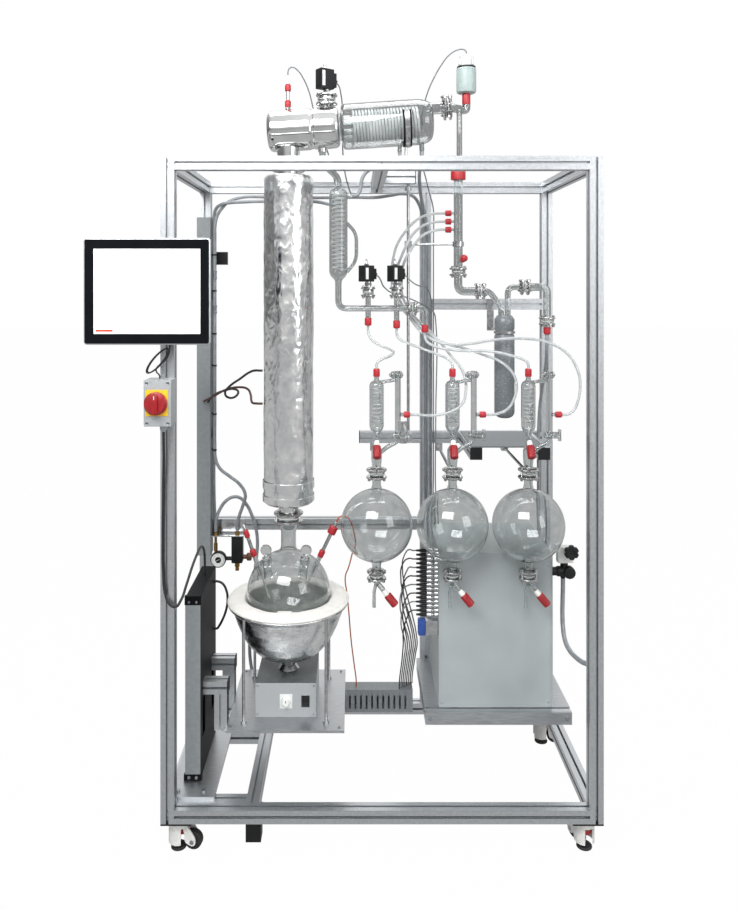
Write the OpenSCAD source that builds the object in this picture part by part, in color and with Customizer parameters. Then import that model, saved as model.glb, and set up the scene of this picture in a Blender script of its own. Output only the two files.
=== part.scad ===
// Batch distillation unit on a wheeled frame of slotted aluminium profile.
// Millimetres, Z up, front towards -Y. The origin is on the floor under the middle of the frame.

/* [Frame] */
// Width of the frame over its posts
frame_w = 1300; // [1290:10:1700]
// Depth of the frame over its posts
frame_d = 650; // [620:10:900]
// Length of the corner posts
frame_h = 1960; // [1900:10:2400]
// Side of the square slotted profile
profile = 40; // [38:1:48]
// Height of the casters under the posts
caster_h = 95; // [95:1:115]
// Height of the receiver rail's centre above the floor
receiver_rail_z = 1114; // [1100:1:1130]

/* [Lift and mantle] */
// Height of the lift housing
lift_h = 565; // [520:1:650]
// Top of the mantle platform above the floor
platform_z = 297; // [285:1:310]
// Width of the platform
platform_w = 369; // [340:1:380]
// Depth of the platform
platform_d = 400; // [360:1:460]
// Outer diameter of the boiler flask
boiler_d = 276; // [240:1:280]
// Outer diameter of the mantle's cloth rim
mantle_d = 400; // [392:1:430]

/* [Column and condenser] */
// Outer diameter of the insulated column
column_d = 172; // [150:1:210]
// Outer diameter of the column's glass tube
column_glass_d = 120; // [100:1:130]
// Diameter of the silvered head
head_d = 138; // [120:1:160]
// Diameter of the condenser jacket
condenser_d = 152; // [140:1:170]
// Length of the condenser jacket
condenser_l = 306; // [290:1:330]
// Upward slope of head and condenser in degrees
head_slope = 3.8; // [2:0.1:5]
// Wall of the glass vessels
glass_wall = 3; // [2:0.5:4]

/* [Receivers] */
// Outer diameter of a receiver flask
receiver_d = 230; // [190:1:236]
// Distance between receiver axes
receiver_pitch = 242.5; // [240:0.5:255]
// Diameter of a receiver cooler
receiver_cooler_d = 46; // [40:1:52]

/* [Cabinet and display] */
// Width of the control cabinet
cabinet_w = 369; // [320:1:375]
// Height of the control cabinet
cabinet_h = 501; // [440:1:501]
// Width of the touch display
display_w = 358; // [320:1:380]
// Height of the touch display
display_h = 302; // [260:1:320]

/* [Hidden] */
$fn = 48;

clear_glass = [0.8, 0.86, 0.88, 0.5];

// Clearances
seat_gap = 0.3;
fit_gap = 0.05;
hairline = 0.02;

// Frame lines
p = profile;
hx = frame_w / 2;
hy = frame_d / 2;
post_x = hx - p / 2;
post_y = hy - p / 2;
base_z = caster_h;
top_z = base_z + frame_h;
rail_bot = base_z + p / 2;
rail_top = top_z - p / 2;
slot_w = 8;
slot_lip = 4.5;
slot_t = 18;
slot_depth = 10.5;
core_d = 6.8;
column_x = -hx + 350;
foot_rail_x = column_x - 85;
depth_rail_x = column_x + 300;
centre_post_x = column_x + 483;
cantilever_l = 101;
cantilever_y = 15;
cross_rail_y = [-hy + p + 20, 112];
mid_rail_z = base_z + 700;
upper_rail_z = top_z - 450;
receiver_rail_x = column_x + 240;
arm_x = [centre_post_x + 142, centre_post_x + 368];
arm_front = 0;
cap_t = 3;

// Casters: plate, swivel housing with levelling foot, trailing wheel
caster_plate = 90;
caster_plate_t = 5;
caster_names = ["fl", "fr", "rl", "rr"];
caster_at = [for (sy = [-1, 1]) for (sx = [-1, 1]) [sx * (hx - caster_plate / 2), sy * (hy - caster_plate / 2), 0]];
caster_turn = [-10, 110, 20, -5];
wheel_r = 27;
wheel_w = 22;
wheel_trail = 47;
axle_z = 29;
axle_r = 4;
housing_r = 30;
housing_wall = 5;

// Lift
lift_x = column_x - 304;
lift_w = 47;
lift_y = [-183, 87];
lift_wall = 4;
base_plate_t = 10;
lift_z = base_z + p + base_plate_t;
arm_y = [-135, 25];
carriage_z = platform_z + 113;
lift_travel = 130;
guide_r = 8;
guide_y = [-100, -10];
screw_r = 6;
drop_x = lift_x + lift_w + 56;
platform_x = drop_x + p / 2;
platform_t = 8;

// Mantle
box_w = 193;
box_d = 220;
box_h = 108;
box_wall = 2;
panel_t = 2;
pedestal_h = 55;
bowl_z = platform_z + box_h + pedestal_h;
boiler_r = boiler_d / 2;
boiler_z = platform_z + 358;
ring_z = platform_z + 325;
ring_t = 6;
rim_r = mantle_d / 2;
bowl_r = boiler_r + 16;
rim_top = ring_z + 23;
rod_x = 130;
rod_y = 146;
rod_r = 5;
dial_x = column_x + 1;
dial_z = platform_z + 50;
rocker_x = column_x + 63;
panel_y = -box_d / 2 - panel_t;

// Boiler neck and column
neck_r = 25;
neck_top = boiler_z + 250;
flange_r = 40;
flange_t = 10;
column_z = neck_top + 2 * flange_t + 27;
column_top = top_z - 16;
head_z = top_z + 135;
column_glass_r = column_glass_d / 2;
column_bore_r = column_glass_r - 18;
head_r = head_d / 2;
head_u = [-70, 170];
condenser_r = condenser_d / 2;
condenser_u = [head_u[1] + 6, head_u[1] + 6 + condenser_l];
outlet_u = condenser_u[1] + 50;
outlet_rise = 42;
coil_r = 52;
coil_tube_r = 4.5;
coil_pitch = 18;
coil_turns = 11;
strap_u = 392;
strap_end = 30;
product_outlet_x = column_x + 113;
head_valve_x = column_x + 127;
head_probe_x = column_x - 2;
nozzle_u = [371, condenser_u[1] - 36];

// Product cooler and manifold
cooler_x = column_x + 166;
cooler_r = 30.5;
cooler_top = top_z - 57;
cooler_bottom = top_z - 348;
manifold_z = top_z - 457;
manifold_r = 11;
valve_x = [column_x + 265, column_x + 360];
valve_stub_z = [top_z - 488, top_z - 497];
manifold_end = column_x + 412;
outlet_x = column_x + 454;
outlet_stub_z = top_z - 511;

// Vacuum line and cold trap
down_x = column_x + 565;
down_r = 15;
port_z = [top_z - 140, top_z - 168, top_z - 195];
trap_x = column_x + 719;
trap_r = 33.5;
trap_top = top_z - 479;
trap_bottom = top_z - 821;
trap_valve_x = column_x + 861;
line_z = top_z - 400;
rod_axis_x = column_x + 400.5;
rod_axis_y = 30;
rod_bottom = receiver_rail_z + 36;

// Receivers
receiver_y = -110;
receiver_x = [for (i = [0 : 2]) column_x + 290 + i * receiver_pitch];
receiver_r = receiver_d / 2;
cooler2_r = receiver_cooler_d / 2;
flask_z = receiver_rail_z - 205;
joint_z = receiver_rail_z - 40;
bottom_joint_z = flask_z - receiver_r - 44;
cutoff_z = receiver_rail_z + 58;
cooler2_z = [receiver_rail_z + 99, receiver_rail_z + 255];
needle_z = cooler2_z[0] - 9;
vent_dx = 68;
vent_r = 9.5;
port_side_z = receiver_rail_z + 148;
knob_r = 13;
knob_l = 42;
knob_collar = 18;
cutoff_seat = 28;
outlet_seat = 34;

// Cabinet
cabinet_x = centre_post_x + 11;
cabinet_y = -63;
cabinet_d = 338;
cabinet_wall = 3;
shelf_z = 260;
shelf_rail_y = -63;
shelf_plate_t = 3;
cabinet_z = shelf_z + p + shelf_plate_t;
shelf_rail_x = [centre_post_x - 15, hx - 50];
plug_rows = 16;
plug_pitch = 14;
plug_y = -40;

// Display and main switch
display_t = 40;
display_y = -hy - 90;
display_x = -hx - 17;
display_z = top_z - 397;
bezel_t = 4;
pivot_y = -hy - 25;
pivot_r = 6;
switch_x = -hx + 8;
switch_z = top_z - 716;
switch_w = 78;
switch_h = 132;
switch_d = 71;
switch_shaft_r = 8;

// Services
regulator_x = column_x - 206;
regulator_z = mid_rail_z - 77;
regulator_y = post_y - p / 2 - 40;
valve_y = 20;
valve_z = shelf_z + 456;
drain_z = 526;
nozzle_l = 14;

// Routes of hoses and cables, chosen by hand
hose_d = 9;
cooling_d = 12;
lead_d = 4.5;
hose_routes = [
  [[-35, 0, 1540.7], [-35, 0, 1524], [-31, -4, 1508], [-18, -12, 1490], [4, -20, 1477],
   [28, -32, 1468], [44, -50, 1461], [44, -72, 1453], [28, -92, 1445], [6, -105, 1438],
   [-7, -110, 1428], [-10, -110, 1420], [-10, -110, 1409.3]],
  [[60, 0, 1531.7], [60, 0, 1516], [66, -4, 1500], [86, -12, 1487], [120, -25, 1475],
   [156, -45, 1462], [193, -70, 1450], [217, -95, 1440], [229, -108, 1430], [232.5, -110, 1420],
   [232.5, -110, 1409.3]],
  [[154, 0, 1517.7], [154, 0, 1504], [160, -6, 1489], [178, -18, 1476], [205, -28, 1468],
   [245, -40, 1463], [292, -54, 1461], [340, -64, 1462], [380, -74, 1458], [420, -86, 1450],
   [454, -100, 1440], [471, -108, 1430], [475, -110, 1420], [475, -110, 1409.3]],
  [[221.7, 0, 1915], [205, 0, 1915], [175, 2, 1912], [135, 6, 1898], [96, 12, 1862], [64, 24, 1814],
   [52, 36, 1773], [47, 45, 1736], [47, 50, 1690], [52, 52, 1650], [68, 50, 1614], [103, 46, 1570],
   [141, 32, 1522], [179, 12, 1494], [225, -8, 1480], [292, -34, 1482], [381, -58, 1498],
   [462, -75, 1503], [542, -85, 1491], [602, -95, 1457], [634, -102, 1405], [642, -106, 1360],
   [636, -108, 1312], [620, -110, 1276], [602, -110, 1263], [592, -110, 1262], [582.3, -110, 1262]],
  [[221.7, 0, 1887], [205, 0, 1887], [180, 2, 1884], [145, 5, 1872], [112, 8, 1842], [92, 11, 1806],
   [76, 30, 1768], [66, 54, 1736], [64, 64, 1690], [66, 66, 1650], [80, 64, 1614], [112, 58, 1570],
   [148, 47, 1530], [184, 29, 1503], [222, 8, 1482], [292, -18, 1464], [340, -42, 1448],
   [396, -74, 1425], [430, -92, 1390], [440, -98, 1352], [431, -104, 1312], [410, -108, 1280],
   [378, -110, 1265], [355, -110, 1262], [339.8, -110, 1262]],
  [[221.7, 0, 1860], [205, 0, 1860], [186, 3, 1857], [155, 6, 1846], [126, 9, 1820], [106, 12, 1790],
   [92, 18, 1766], [85, 34, 1745], [82, 56, 1722], [81, 74, 1690], [82, 79, 1650], [94, 78, 1614],
   [120, 72, 1575], [152, 62, 1540], [186, 44, 1508], [212, 22, 1478], [236, -12, 1446],
   [258, -48, 1418], [272, -74, 1392], [278, -90, 1362], [275, -108, 1332], [266, -128, 1307],
   [248, -145, 1290], [222, -150, 1277], [190, -148, 1268], [160, -140, 1264], [118, -112, 1262],
   [108, -110, 1262], [97.3, -110, 1262]]];
cooling_routes = [
  [[-506, 244, 783.3], [-506, 244, 800], [-498, 240, 838], [-482, 234, 884], [-475, 232, 918],
   [-494, 232, 954], [-566, 232, 1012], [-582, 232, 1046], [-585, 232, 1100], [-585, 232, 1500],
   [-585, 232, 1840], [-584, 232, 1895], [-577, 234, 1926], [-563, 236, 1950], [-538, 238, 1976],
   [-494, 240, 1993], [-425, 237, 1996], [-380, 232, 1992], [-280, 230, 1991], [-80, 228, 1993],
   [0, 224, 1992], [90, 206, 2003], [128, 212, 1996], [152, 230, 1970], [166, 252, 1930],
   [172, 266, 1870], [172, 270, 1780], [172, 270, 1400], [172, 270, 1000], [172, 268, 900],
   [168, 240, 840], [164, 180, 800], [164, 110, 775], [170, 60, 765], [182, 42, 764], [193.7, 42, 764]],
  [[70.2, 0, 2117.2], [70.2, 0, 2103], [66, 0, 2091], [52, 1, 2081], [26, 3, 2073], [-4, 4, 2069],
   [-30, 3, 2060], [-48, 1, 2044], [-57, 0, 2022], [-65, 0, 1984], [-76, 0, 1974], [-87.7, 0, 1974]],
  [[145, 0, 2122.2], [145, 0, 2106], [142, 10, 2085], [140, 44, 2060], [146, 110, 2020],
   [160, 190, 1975], [178, 245, 1920], [190, 266, 1860], [192, 270, 1780], [192, 270, 1400],
   [192, 270, 1000], [192, 268, 900], [186, 244, 845], [184, 190, 790], [182, 120, 745],
   [178, 88, 731], [183, 72, 730], [193.7, 72, 730]],
  [[-590, 268, 781.3], [-590, 268, 805], [-592, 255, 920], [-592, 252, 1000], [-592, 252, 1450],
   [-592, 252, 1900], [-590, 249, 1930], [-582, 240, 1952], [-562, 226, 1966], [-525, 214, 1972],
   [-440, 200, 1975], [-340, 190, 1975], [-250, 160, 1972], [-200, 120, 1964], [-142, 66, 1946],
   [-134, 56, 1944], [-134, 46.3, 1944]],
  [[-584, 245, 781.3], [-584, 245, 800], [-581, 245, 828], [-568, 247, 863], [-547, 250, 891],
   [-521, 254, 904], [-497, 256, 900], [-474, 257, 876], [-455, 258, 838], [-440, 258, 790],
   [-434, 258, 742], [-438, 256, 676], [-458, 250, 480], [-462, 252, 380], [-457, 256, 290],
   [-440, 257, 226], [-415, 257, 188], [-390, 257, 176], [-360, 257, 174]],
  [[561, 0, 1511.7], [561, 0, 1490], [562, 8, 1460], [568, 40, 1420], [588, 190, 1300],
   [592, 245, 1220], [592, 262, 1130], [592, 262, 1000], [592, 260, 880], [592, 252, 780],
   [588, 246, 700], [583, 242, 662], [577, 240, 644], [571, 240, 640], [563.3, 240, 640]]];
drain_d = 15;
drain_route = [[619, 20, 692.7], [619, 20, 660], [618, 20, 620], [616, 15, 576], [614, 0, 537], [613, -30, 506],
   [616, -75, 493], [621, -130, 496], [625, -190, 508], [629, -232, 521], [630, -256, 526],
   [630, -270.7, 526]];
hank_loops = 3;
hank_at = [-650, -346, 1457];
hank_long = [-0.66, 0, -0.75];
hank_wide = [0.75, 0, -0.66];
hank = [for (i = [0 : 24 * hank_loops])
  hank_at + 46 * sin(15 * i) * hank_long + 13 * cos(15 * i) * hank_wide - [0, 6 * i / 24, 0]];
plug_leads = 8;
function plug_lead(k) = let (z = cabinet_z + 292 + (2 * k + 1) * plug_pitch, x = cabinet_x - 112 + 7 * k,
  y = plug_y + 6 * k, reach = cabinet_x - 104 - 3 * ((3 * k) % 5))
  [[cabinet_x - 72.3, plug_y, z], [cabinet_x - 82, plug_y, z], [cabinet_x - 92, (plug_y + y) / 2, z - 4],
   [reach + 4, y, z - 20], [reach - 8, y, z - 56], [x, y + 40, 480], [x, y + 105, 400], [x, y + 190, 320],
   [x, y + 248, 265], [x, y + 270, 236], [x, y + 274, 226], [x, y + 274, 215.3]];
lead_routes = concat([
  [[-302, 0, 2374.8], [-302, 0, 2386], [-298, 2, 2397], [-288, 6, 2403], [-272, 14, 2396],
   [-252, 28, 2370], [-236, 44, 2335], [-218, 78, 2260], [-200, 96, 2200], [-178, 102, 2150],
   [-160, 120, 2090], [-150, 160, 2040], [-140, 198, 2012], [-122, 214, 1992]],
  [[-145.7, 19.1, 2352], [-139, 23.8, 2352], [-132, 29, 2344], [-126, 38, 2320], [-122, 56, 2290],
   [-121, 82, 2255], [-121, 94, 2215], [-118, 94, 2100], [-110, 120, 2050], [-100, 170, 2020],
   [-90, 210, 1994]],
  [[292, 0, 2443.7], [292, 0, 2452], [285, 4, 2461], [268, 10, 2463], [240, 20, 2450],
   [214, 34, 2420], [190, 52, 2380], [170, 72, 2335], [156, 92, 2280], [148, 104, 2220],
   [146, 104, 2160], [152, 106, 2100], [166, 124, 2056], [184, 166, 2005], [204, 222, 1950],
   [209, 258, 1900], [209, 267, 1840], [209, 268, 1400], [209, 268, 1000], [209, 267, 860],
   [212, 264, 820], [212, 264, 804.3]],
  [[82.4, 15.7, 1708], [88, 19.6, 1708], [94, 18, 1704], [104, 11, 1694], [118, 12, 1682],
   [136, 30, 1674], [150, 76, 1672], [164, 130, 1673], [182, 200, 1660], [199, 248, 1620], [202, 260, 1560],
   [202, 260, 1200], [202, 260, 900], [206, 248, 818], [206, 248, 804.3]],
  [[-12.6, 15.7, 1708], [-6, 20.3, 1708], [1, 25, 1703], [8, 31, 1692], [14, 44, 1678],
   [26, 76, 1664], [52, 130, 1648], [110, 192, 1630], [165, 230, 1606], [206, 247, 1580],
   [217, 260, 1536], [217, 262, 1200], [217, 262, 900], [222, 254, 818], [222, 254, 804.3]],
  concat([[-630, -329, 1612.7], [-630, -329, 1590], [-627, -331, 1550], [-619, -341, 1485],
   [-625, -344, 1466]], hank, [[-652, -366, 1434], [-651, -365, 1425], [-645, -361, 1417], [-643, -361, 1411],
   [-643, -361, 1405.3]]),
  [[-140.1, -20, 892.2], [-135, -20, 903], [-124, -17, 911], [-108, -8, 905], [-94, 6, 880],
   [-84, 24, 840], [-82, 44, 800], [-88, 60, 762], [-100, 78, 710], [-112, 100, 668],
   [-106, 122, 600], [-100, 160, 520], [-92, 210, 400], [-80, 242, 290], [-74, 250, 240],
   [-74, 250, 215.3]]],
  [for (k = [0 : plug_leads - 1]) plug_lead(k)]);
power_d = 8;
power_routes = [
  [[-632, -361, 1252.7], [-632, -361, 1228], [-638, -337, 1110], [-640, -332, 1030],
   [-640, -331, 840], [-632, -332, 766], [-620, -335, 744], [-605, -331, 735], [-594, -306, 744],
   [-587, -262, 772], [-583, -200, 802], [-581, -130, 820], [-581, -70, 824], [-581, -20, 808],
   [-581, 6, 778], [-581, 12, 745], [-581, 12, 726], [-581, 12, 710.3]],
  [[-606, 224.7, 1256], [-606, 212, 1256], [-598, 203, 1266], [-580, 198, 1284], [-542, 190, 1300],
   [-508, 176, 1307], [-490, 160, 1298], [-504, 150, 1281], [-526, 140, 1284], [-531, 125, 1302],
   [-515, 108, 1323], [-472, 70, 1355], [-430, 30, 1384], [-408, 5, 1391], [-398, 0, 1391],
   [-386.3, 0, 1391]],
  [[-620, 224.7, 1259], [-620, 208, 1259], [-612, 192, 1264], [-585, 180, 1278], [-535, 164, 1306],
   [-485, 140, 1318], [-450, 110, 1315], [-436, 80, 1299], [-430, 50, 1284], [-420, 18, 1280],
   [-408, 3, 1281], [-398, 0, 1281], [-386.3, 0, 1281]],
  [[-556.7, 60, 667], [-546, 60, 667], [-530, 60, 660], [-517, 62, 636], [-513, 64, 604],
   [-517, 64, 572], [-528, 62, 540], [-548, 60, 507], [-556.7, 60, 507]]];
echo(least_gap_hank = coil_gap(hank, lead_d));

// Vector helpers
function unit(v) = v / norm(v);
function side_of(d) = unit(cross(abs(d.z) < 0.9 ? [0, 0, 1] : [1, 0, 0], d));
function tangents(r) = [for (i = [0 : len(r) - 1]) unit(r[min(i + 1, len(r) - 1)] - r[max(i - 1, 0)])];
function carried(t, i) =
  i == 0 ? side_of(t[0]) : let (v = carried(t, i - 1)) unit(v - (v * t[i]) * t[i]);
function head_at(u) =
  [column_x + u * cos(head_slope), 0, head_z + u * sin(head_slope)];

// Moves +Z onto direction d at point a
module along(a, d) {
  x = side_of(d);
  y = cross(d, x);
  multmatrix([[x.x, y.x, d.x, a.x], [x.y, y.y, d.y, a.y], [x.z, y.z, d.z, a.z], [0, 0, 0, 1]]) children();
}

// Places children on the sloping axis of head and condenser, with +Z along the axis
module on_head(u) {
  along(head_at(u), [cos(head_slope), 0, sin(head_slope)]) children();
}

module stick(a, b, r) {
  along(a, unit(b - a)) cylinder(r = r, h = norm(b - a));
}

module pipe(a, b, r, wall) {
  along(a, unit(b - a)) difference() {
    cylinder(r = r, h = norm(b - a));
    translate([0, 0, -1]) cylinder(r = r - wall, h = norm(b - a) + 2);
  }
}

// Round bend from direction u to direction v about the corner c, hollow where a bore is given
module elbow(c, u, v, angle, bend, r, bore = 0) {
  n = unit(cross(u, v));
  inward = cross(n, u);
  o = c - bend * tan(angle / 2) * u + bend * inward;
  multmatrix([[-inward.x, u.x, n.x, o.x], [-inward.y, u.y, n.y, o.y], [-inward.z, u.z, n.z, o.z], [0, 0, 0, 1]])
    rotate_extrude(angle = angle) translate([bend, 0]) difference() {
      circle(r);
      if (bore > 0) circle(bore);
    }
}

// Straight runs joined by round bends, longer by ext at both ends
module run(route, r, bend, ext = 0) {
  n = len(route);
  u = [for (i = [0 : n - 2]) unit(route[i + 1] - route[i])];
  turn = [for (i = [1 : 1 : n - 2]) acos(u[i - 1] * u[i])];
  trim = [for (i = [0 : n - 1]) i == 0 || i == n - 1 ? -ext : bend * tan(turn[i - 1] / 2)];
  for (i = [0 : n - 2]) stick(route[i] + trim[i] * u[i], route[i + 1] - trim[i + 1] * u[i], r);
  for (i = [1 : 1 : n - 2]) elbow(route[i], u[i - 1], u[i], turn[i - 1], bend, r);
}

// The same as a tube: hollow straights and hollow bends that meet end to end
module glass_run(route, r, bend, wall = 2.5) {
  n = len(route);
  u = [for (i = [0 : n - 2]) unit(route[i + 1] - route[i])];
  turn = [for (i = [1 : 1 : n - 2]) acos(u[i - 1] * u[i])];
  trim = [for (i = [0 : n - 1]) i == 0 || i == n - 1 ? 0
    : bend * tan(turn[i - 1] / 2) + (abs(turn[i - 1] - 90) < 0.01 ? 0 : hairline)];
  for (i = [0 : n - 2]) pipe(route[i] + trim[i] * u[i], route[i + 1] - trim[i + 1] * u[i], r, wall);
  for (i = [1 : 1 : n - 2]) elbow(route[i], u[i - 1], u[i], turn[i - 1], bend, r, r - wall);
}

// Wall of revolution from a list of [radius, height], open at both ends
module glass_shell(path, wall) {
  rotate_extrude() polygon(concat(path, [for (i = [len(path) - 1 : -1 : 0]) [path[i][0] - wall, path[i][1]]]));
}

// Tube swept along a route's own points
module swept(route, d, sides = 8) {
  n = len(route);
  t = tangents(route);
  rings = [for (i = [0 : n - 1]) let (a = carried(t, i), b = cross(t[i], a))
    for (k = [0 : sides - 1]) route[i] + d / 2 * (cos(360 * k / sides) * a + sin(360 * k / sides) * b)];
  skin = [for (i = [0 : n - 2]) for (k = [0 : sides - 1])
    let (q = i * sides + k, w = i * sides + (k + 1) % sides)
    each [[q, q + sides, w], [w, q + sides, w + sides]]];
  start = [for (k = [1 : sides - 2]) [0, k, k + 1]];
  last = (n - 1) * sides;
  end = [for (k = [1 : sides - 2]) [last, last + k + 1, last + k]];
  polyhedron(points = rings, faces = concat(skin, start, end));
}

// Points of a coil about +Z, whose two ends run straight out to the radius reach
function coil(r, pitch, turns, reach) = concat(
  [[reach, 0, 0]],
  [for (i = [0 : 8 * turns]) [r * cos(45 * i), r * sin(45 * i), pitch * i / 8]],
  [[reach, 0, pitch * turns]]);

// Least gap between neighbouring turns of a coil, measured on its points
function coil_gap(route, d) =
  min([for (i = [0 : len(route) - 6]) for (k = [i + 5 : min(i + 12, len(route) - 1)]) norm(route[k] - route[i])]) - d;

// Slotted profile
module slot_2d() {
  polygon([[-slot_w / 2, 1], [-slot_w / 2, -slot_lip], [-slot_t / 2, -slot_lip], [-slot_t / 2, -slot_lip - 2.5],
    [-slot_t / 3, -slot_depth], [slot_t / 3, -slot_depth], [slot_t / 2, -slot_lip - 2.5],
    [slot_t / 2, -slot_lip], [slot_w / 2, -slot_lip], [slot_w / 2, 1]]);
}

module profile_2d() {
  difference() {
    square(p, center = true);
    for (a = [0 : 90 : 270]) rotate(a) translate([0, p / 2]) slot_2d();
    circle(d = core_d);
  }
}

// Bars end a hairline before what they butt against, so that each stays a solid of its own
module bar_x(x0, x1, y, z) {
  translate([x0 + hairline, y, z]) rotate([90, 0, 90]) linear_extrude(x1 - x0 - 2 * hairline) profile_2d();
}

module bar_y(y0, y1, x, z) {
  translate([x, y0 + hairline, z]) rotate([-90, 0, 0]) linear_extrude(y1 - y0 - 2 * hairline) profile_2d();
}

module bar_z(z0, z1, x, y) {
  translate([x, y, z0]) linear_extrude(z1 - z0) profile_2d();
}

module block(x0, x1, y0, y1, z0, z1) {
  translate([x0, y0, z0]) cube([x1 - x0, y1 - y0, z1 - z0]);
}

module frame_posts() {
  color("gainsboro") {
    for (sx = [-1, 1]) for (sy = [-1, 1]) bar_z(base_z, top_z, sx * post_x, sy * post_y);
    bar_z(base_z + p, top_z - p, centre_post_x, post_y);
  }
}

module frame_rails() {
  color("gainsboro") {
    for (z = [rail_bot, rail_top]) for (s = [-1, 1]) {
      bar_x(-hx + p, hx - p, s * post_y, z);
      bar_y(-hy + p, hy - p, s * post_x, z);
    }
    for (x = [foot_rail_x]) bar_y(-hy + p, hy - p, x, rail_bot);
    bar_y(-hy + p, hy - p, depth_rail_x, rail_top);
    bar_x(depth_rail_x + p / 2, depth_rail_x + p / 2 + cantilever_l, cantilever_y, rail_top);
    for (y = cross_rail_y) bar_x(-hx + p, foot_rail_x - p / 2, y, rail_bot);
    bar_x(-hx + p, centre_post_x - p / 2, post_y, mid_rail_z);
    bar_x(centre_post_x + p / 2, hx - p, post_y, upper_rail_z);
    bar_x(receiver_rail_x, centre_post_x - p / 2, post_y, receiver_rail_z);
    bar_x(centre_post_x + p / 2, hx - p, post_y, receiver_rail_z);
    for (x = arm_x) bar_y(arm_front, hy - p, x, receiver_rail_z);
    bar_x(shelf_rail_x[0] - p / 2, shelf_rail_x[1] + p / 2, shelf_rail_y, shelf_z + p / 2);
    for (x = shelf_rail_x) bar_y(shelf_rail_y + p / 2, hy - p, x, shelf_z + p / 2);
  }
}

module frame_fittings() {
  foot = 46;
  color([0.09, 0.09, 0.1]) {
    block(receiver_rail_x - cap_t, receiver_rail_x, post_y - p / 2, hy,
      receiver_rail_z - p / 2, receiver_rail_z + p / 2);
    block(depth_rail_x + p / 2 + cantilever_l, depth_rail_x + p / 2 + cantilever_l + cap_t,
      cantilever_y - p / 2, cantilever_y + p / 2, rail_top - p / 2, rail_top + p / 2);
    for (x = arm_x) block(x - p / 2, x + p / 2, arm_front - cap_t, arm_front,
      receiver_rail_z - p / 2, receiver_rail_z + p / 2);
    for (a = caster_at) translate([a.x - caster_plate / 2, a.y - caster_plate / 2, base_z - caster_plate_t])
      cube([caster_plate, caster_plate, caster_plate_t]);
    block(foot_rail_x - foot / 2, foot_rail_x + foot / 2, -265, -265 + foot, 1, base_z);
    // Clip on the rear left post
    block(-hx + p, -hx + p + 60, post_y - 10, post_y + 10, top_z - 304, top_z - 257);
  }
}

module slot_bolt(a, d) {
  along(a, d) cylinder(d = 7, h = 3);
}

module frame_bolts() {
  floor_at = slot_depth;
  color("dimgray") {
    for (sx = [-1, 1]) for (z = [base_z + 12, base_z + 30, top_z - 12, top_z - 30]) for (sy = [-1, 1]) {
      slot_bolt([sx * post_x, sy * (hy - floor_at), z], [0, sy, 0]);
      slot_bolt([sx * (hx - floor_at), sy * post_y, z], [sx, 0, 0]);
    }
    slot_bolt([depth_rail_x, -hy + floor_at, rail_top], [0, -1, 0]);
    for (x = [shelf_rail_x[0] - 5, shelf_rail_x[1] + 5])
      along([x, shelf_rail_y - p / 2 - 8, shelf_z + p / 2], [0, -1, 0]) cylinder(d = 12, h = 4);
    for (x = [lift_x - 10, lift_x + lift_w + 20]) for (y = [-250, 105])
      along([x, y, lift_z], [0, 0, 1]) cylinder(d = 13, h = 6);
  }
}

// Caster housing with its axle, and the levelling foot with thumbwheel on its stud
module caster_fork(i) {
  ring_top = base_z - caster_plate_t - seat_gap;
  ring_bot = ring_top - 6;
  roof = 10;
  cheek = 6;
  translate(caster_at[i]) rotate(caster_turn[i]) {
    color("ivory") union() {
      difference() {
        union() {
          translate([0, 0, ring_bot]) cylinder(r = housing_r + 2, h = ring_top - ring_bot);
          translate([0, 0, 18]) cylinder(r = housing_r, h = ring_bot - 18);
        }
        translate([0, 0, 10]) cylinder(r = housing_r - housing_wall, h = ring_bot - roof - 10);
        block(12, 60, -wheel_w / 2 - 2, wheel_w / 2 + 2, 0, axle_z + wheel_r + 4);
        block(-60, -18, -17, 17, 44, 66);
      }
      for (s = [-1, 1]) translate([0, s * (wheel_w / 2 + 2 + cheek / 2), 0]) rotate([90, 0, 0])
        translate([0, 0, -cheek / 2]) linear_extrude(cheek) {
          polygon([[22, 82], [30, 80], [wheel_trail + 12, axle_z + 5], [wheel_trail, axle_z - 12.9],
            [27, 24], [27, 60]]);
          translate([wheel_trail, axle_z]) circle(13);
        }
      along([wheel_trail, -wheel_w / 2 - 9, axle_z], [0, 1, 0]) cylinder(r = axle_r, h = wheel_w + 18);
    }
    color("firebrick") union() {
      cylinder(r = 23, h = 9);
      cylinder(r = 6, h = ring_bot - roof);
      translate([0, 0, 46]) cylinder(r = 21, h = 14);
    }
  }
}

module caster_wheel(i) {
  translate(caster_at[i]) rotate(caster_turn[i]) color([0.1, 0.1, 0.11])
    along([wheel_trail, -wheel_w / 2, axle_z], [0, 1, 0]) rotate_extrude()
      polygon([[axle_r + fit_gap, 0], [wheel_r - 3, 0], [wheel_r, 3], [wheel_r, wheel_w - 3],
        [wheel_r - 3, wheel_w], [axle_r + fit_gap, wheel_w]]);
}

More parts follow.
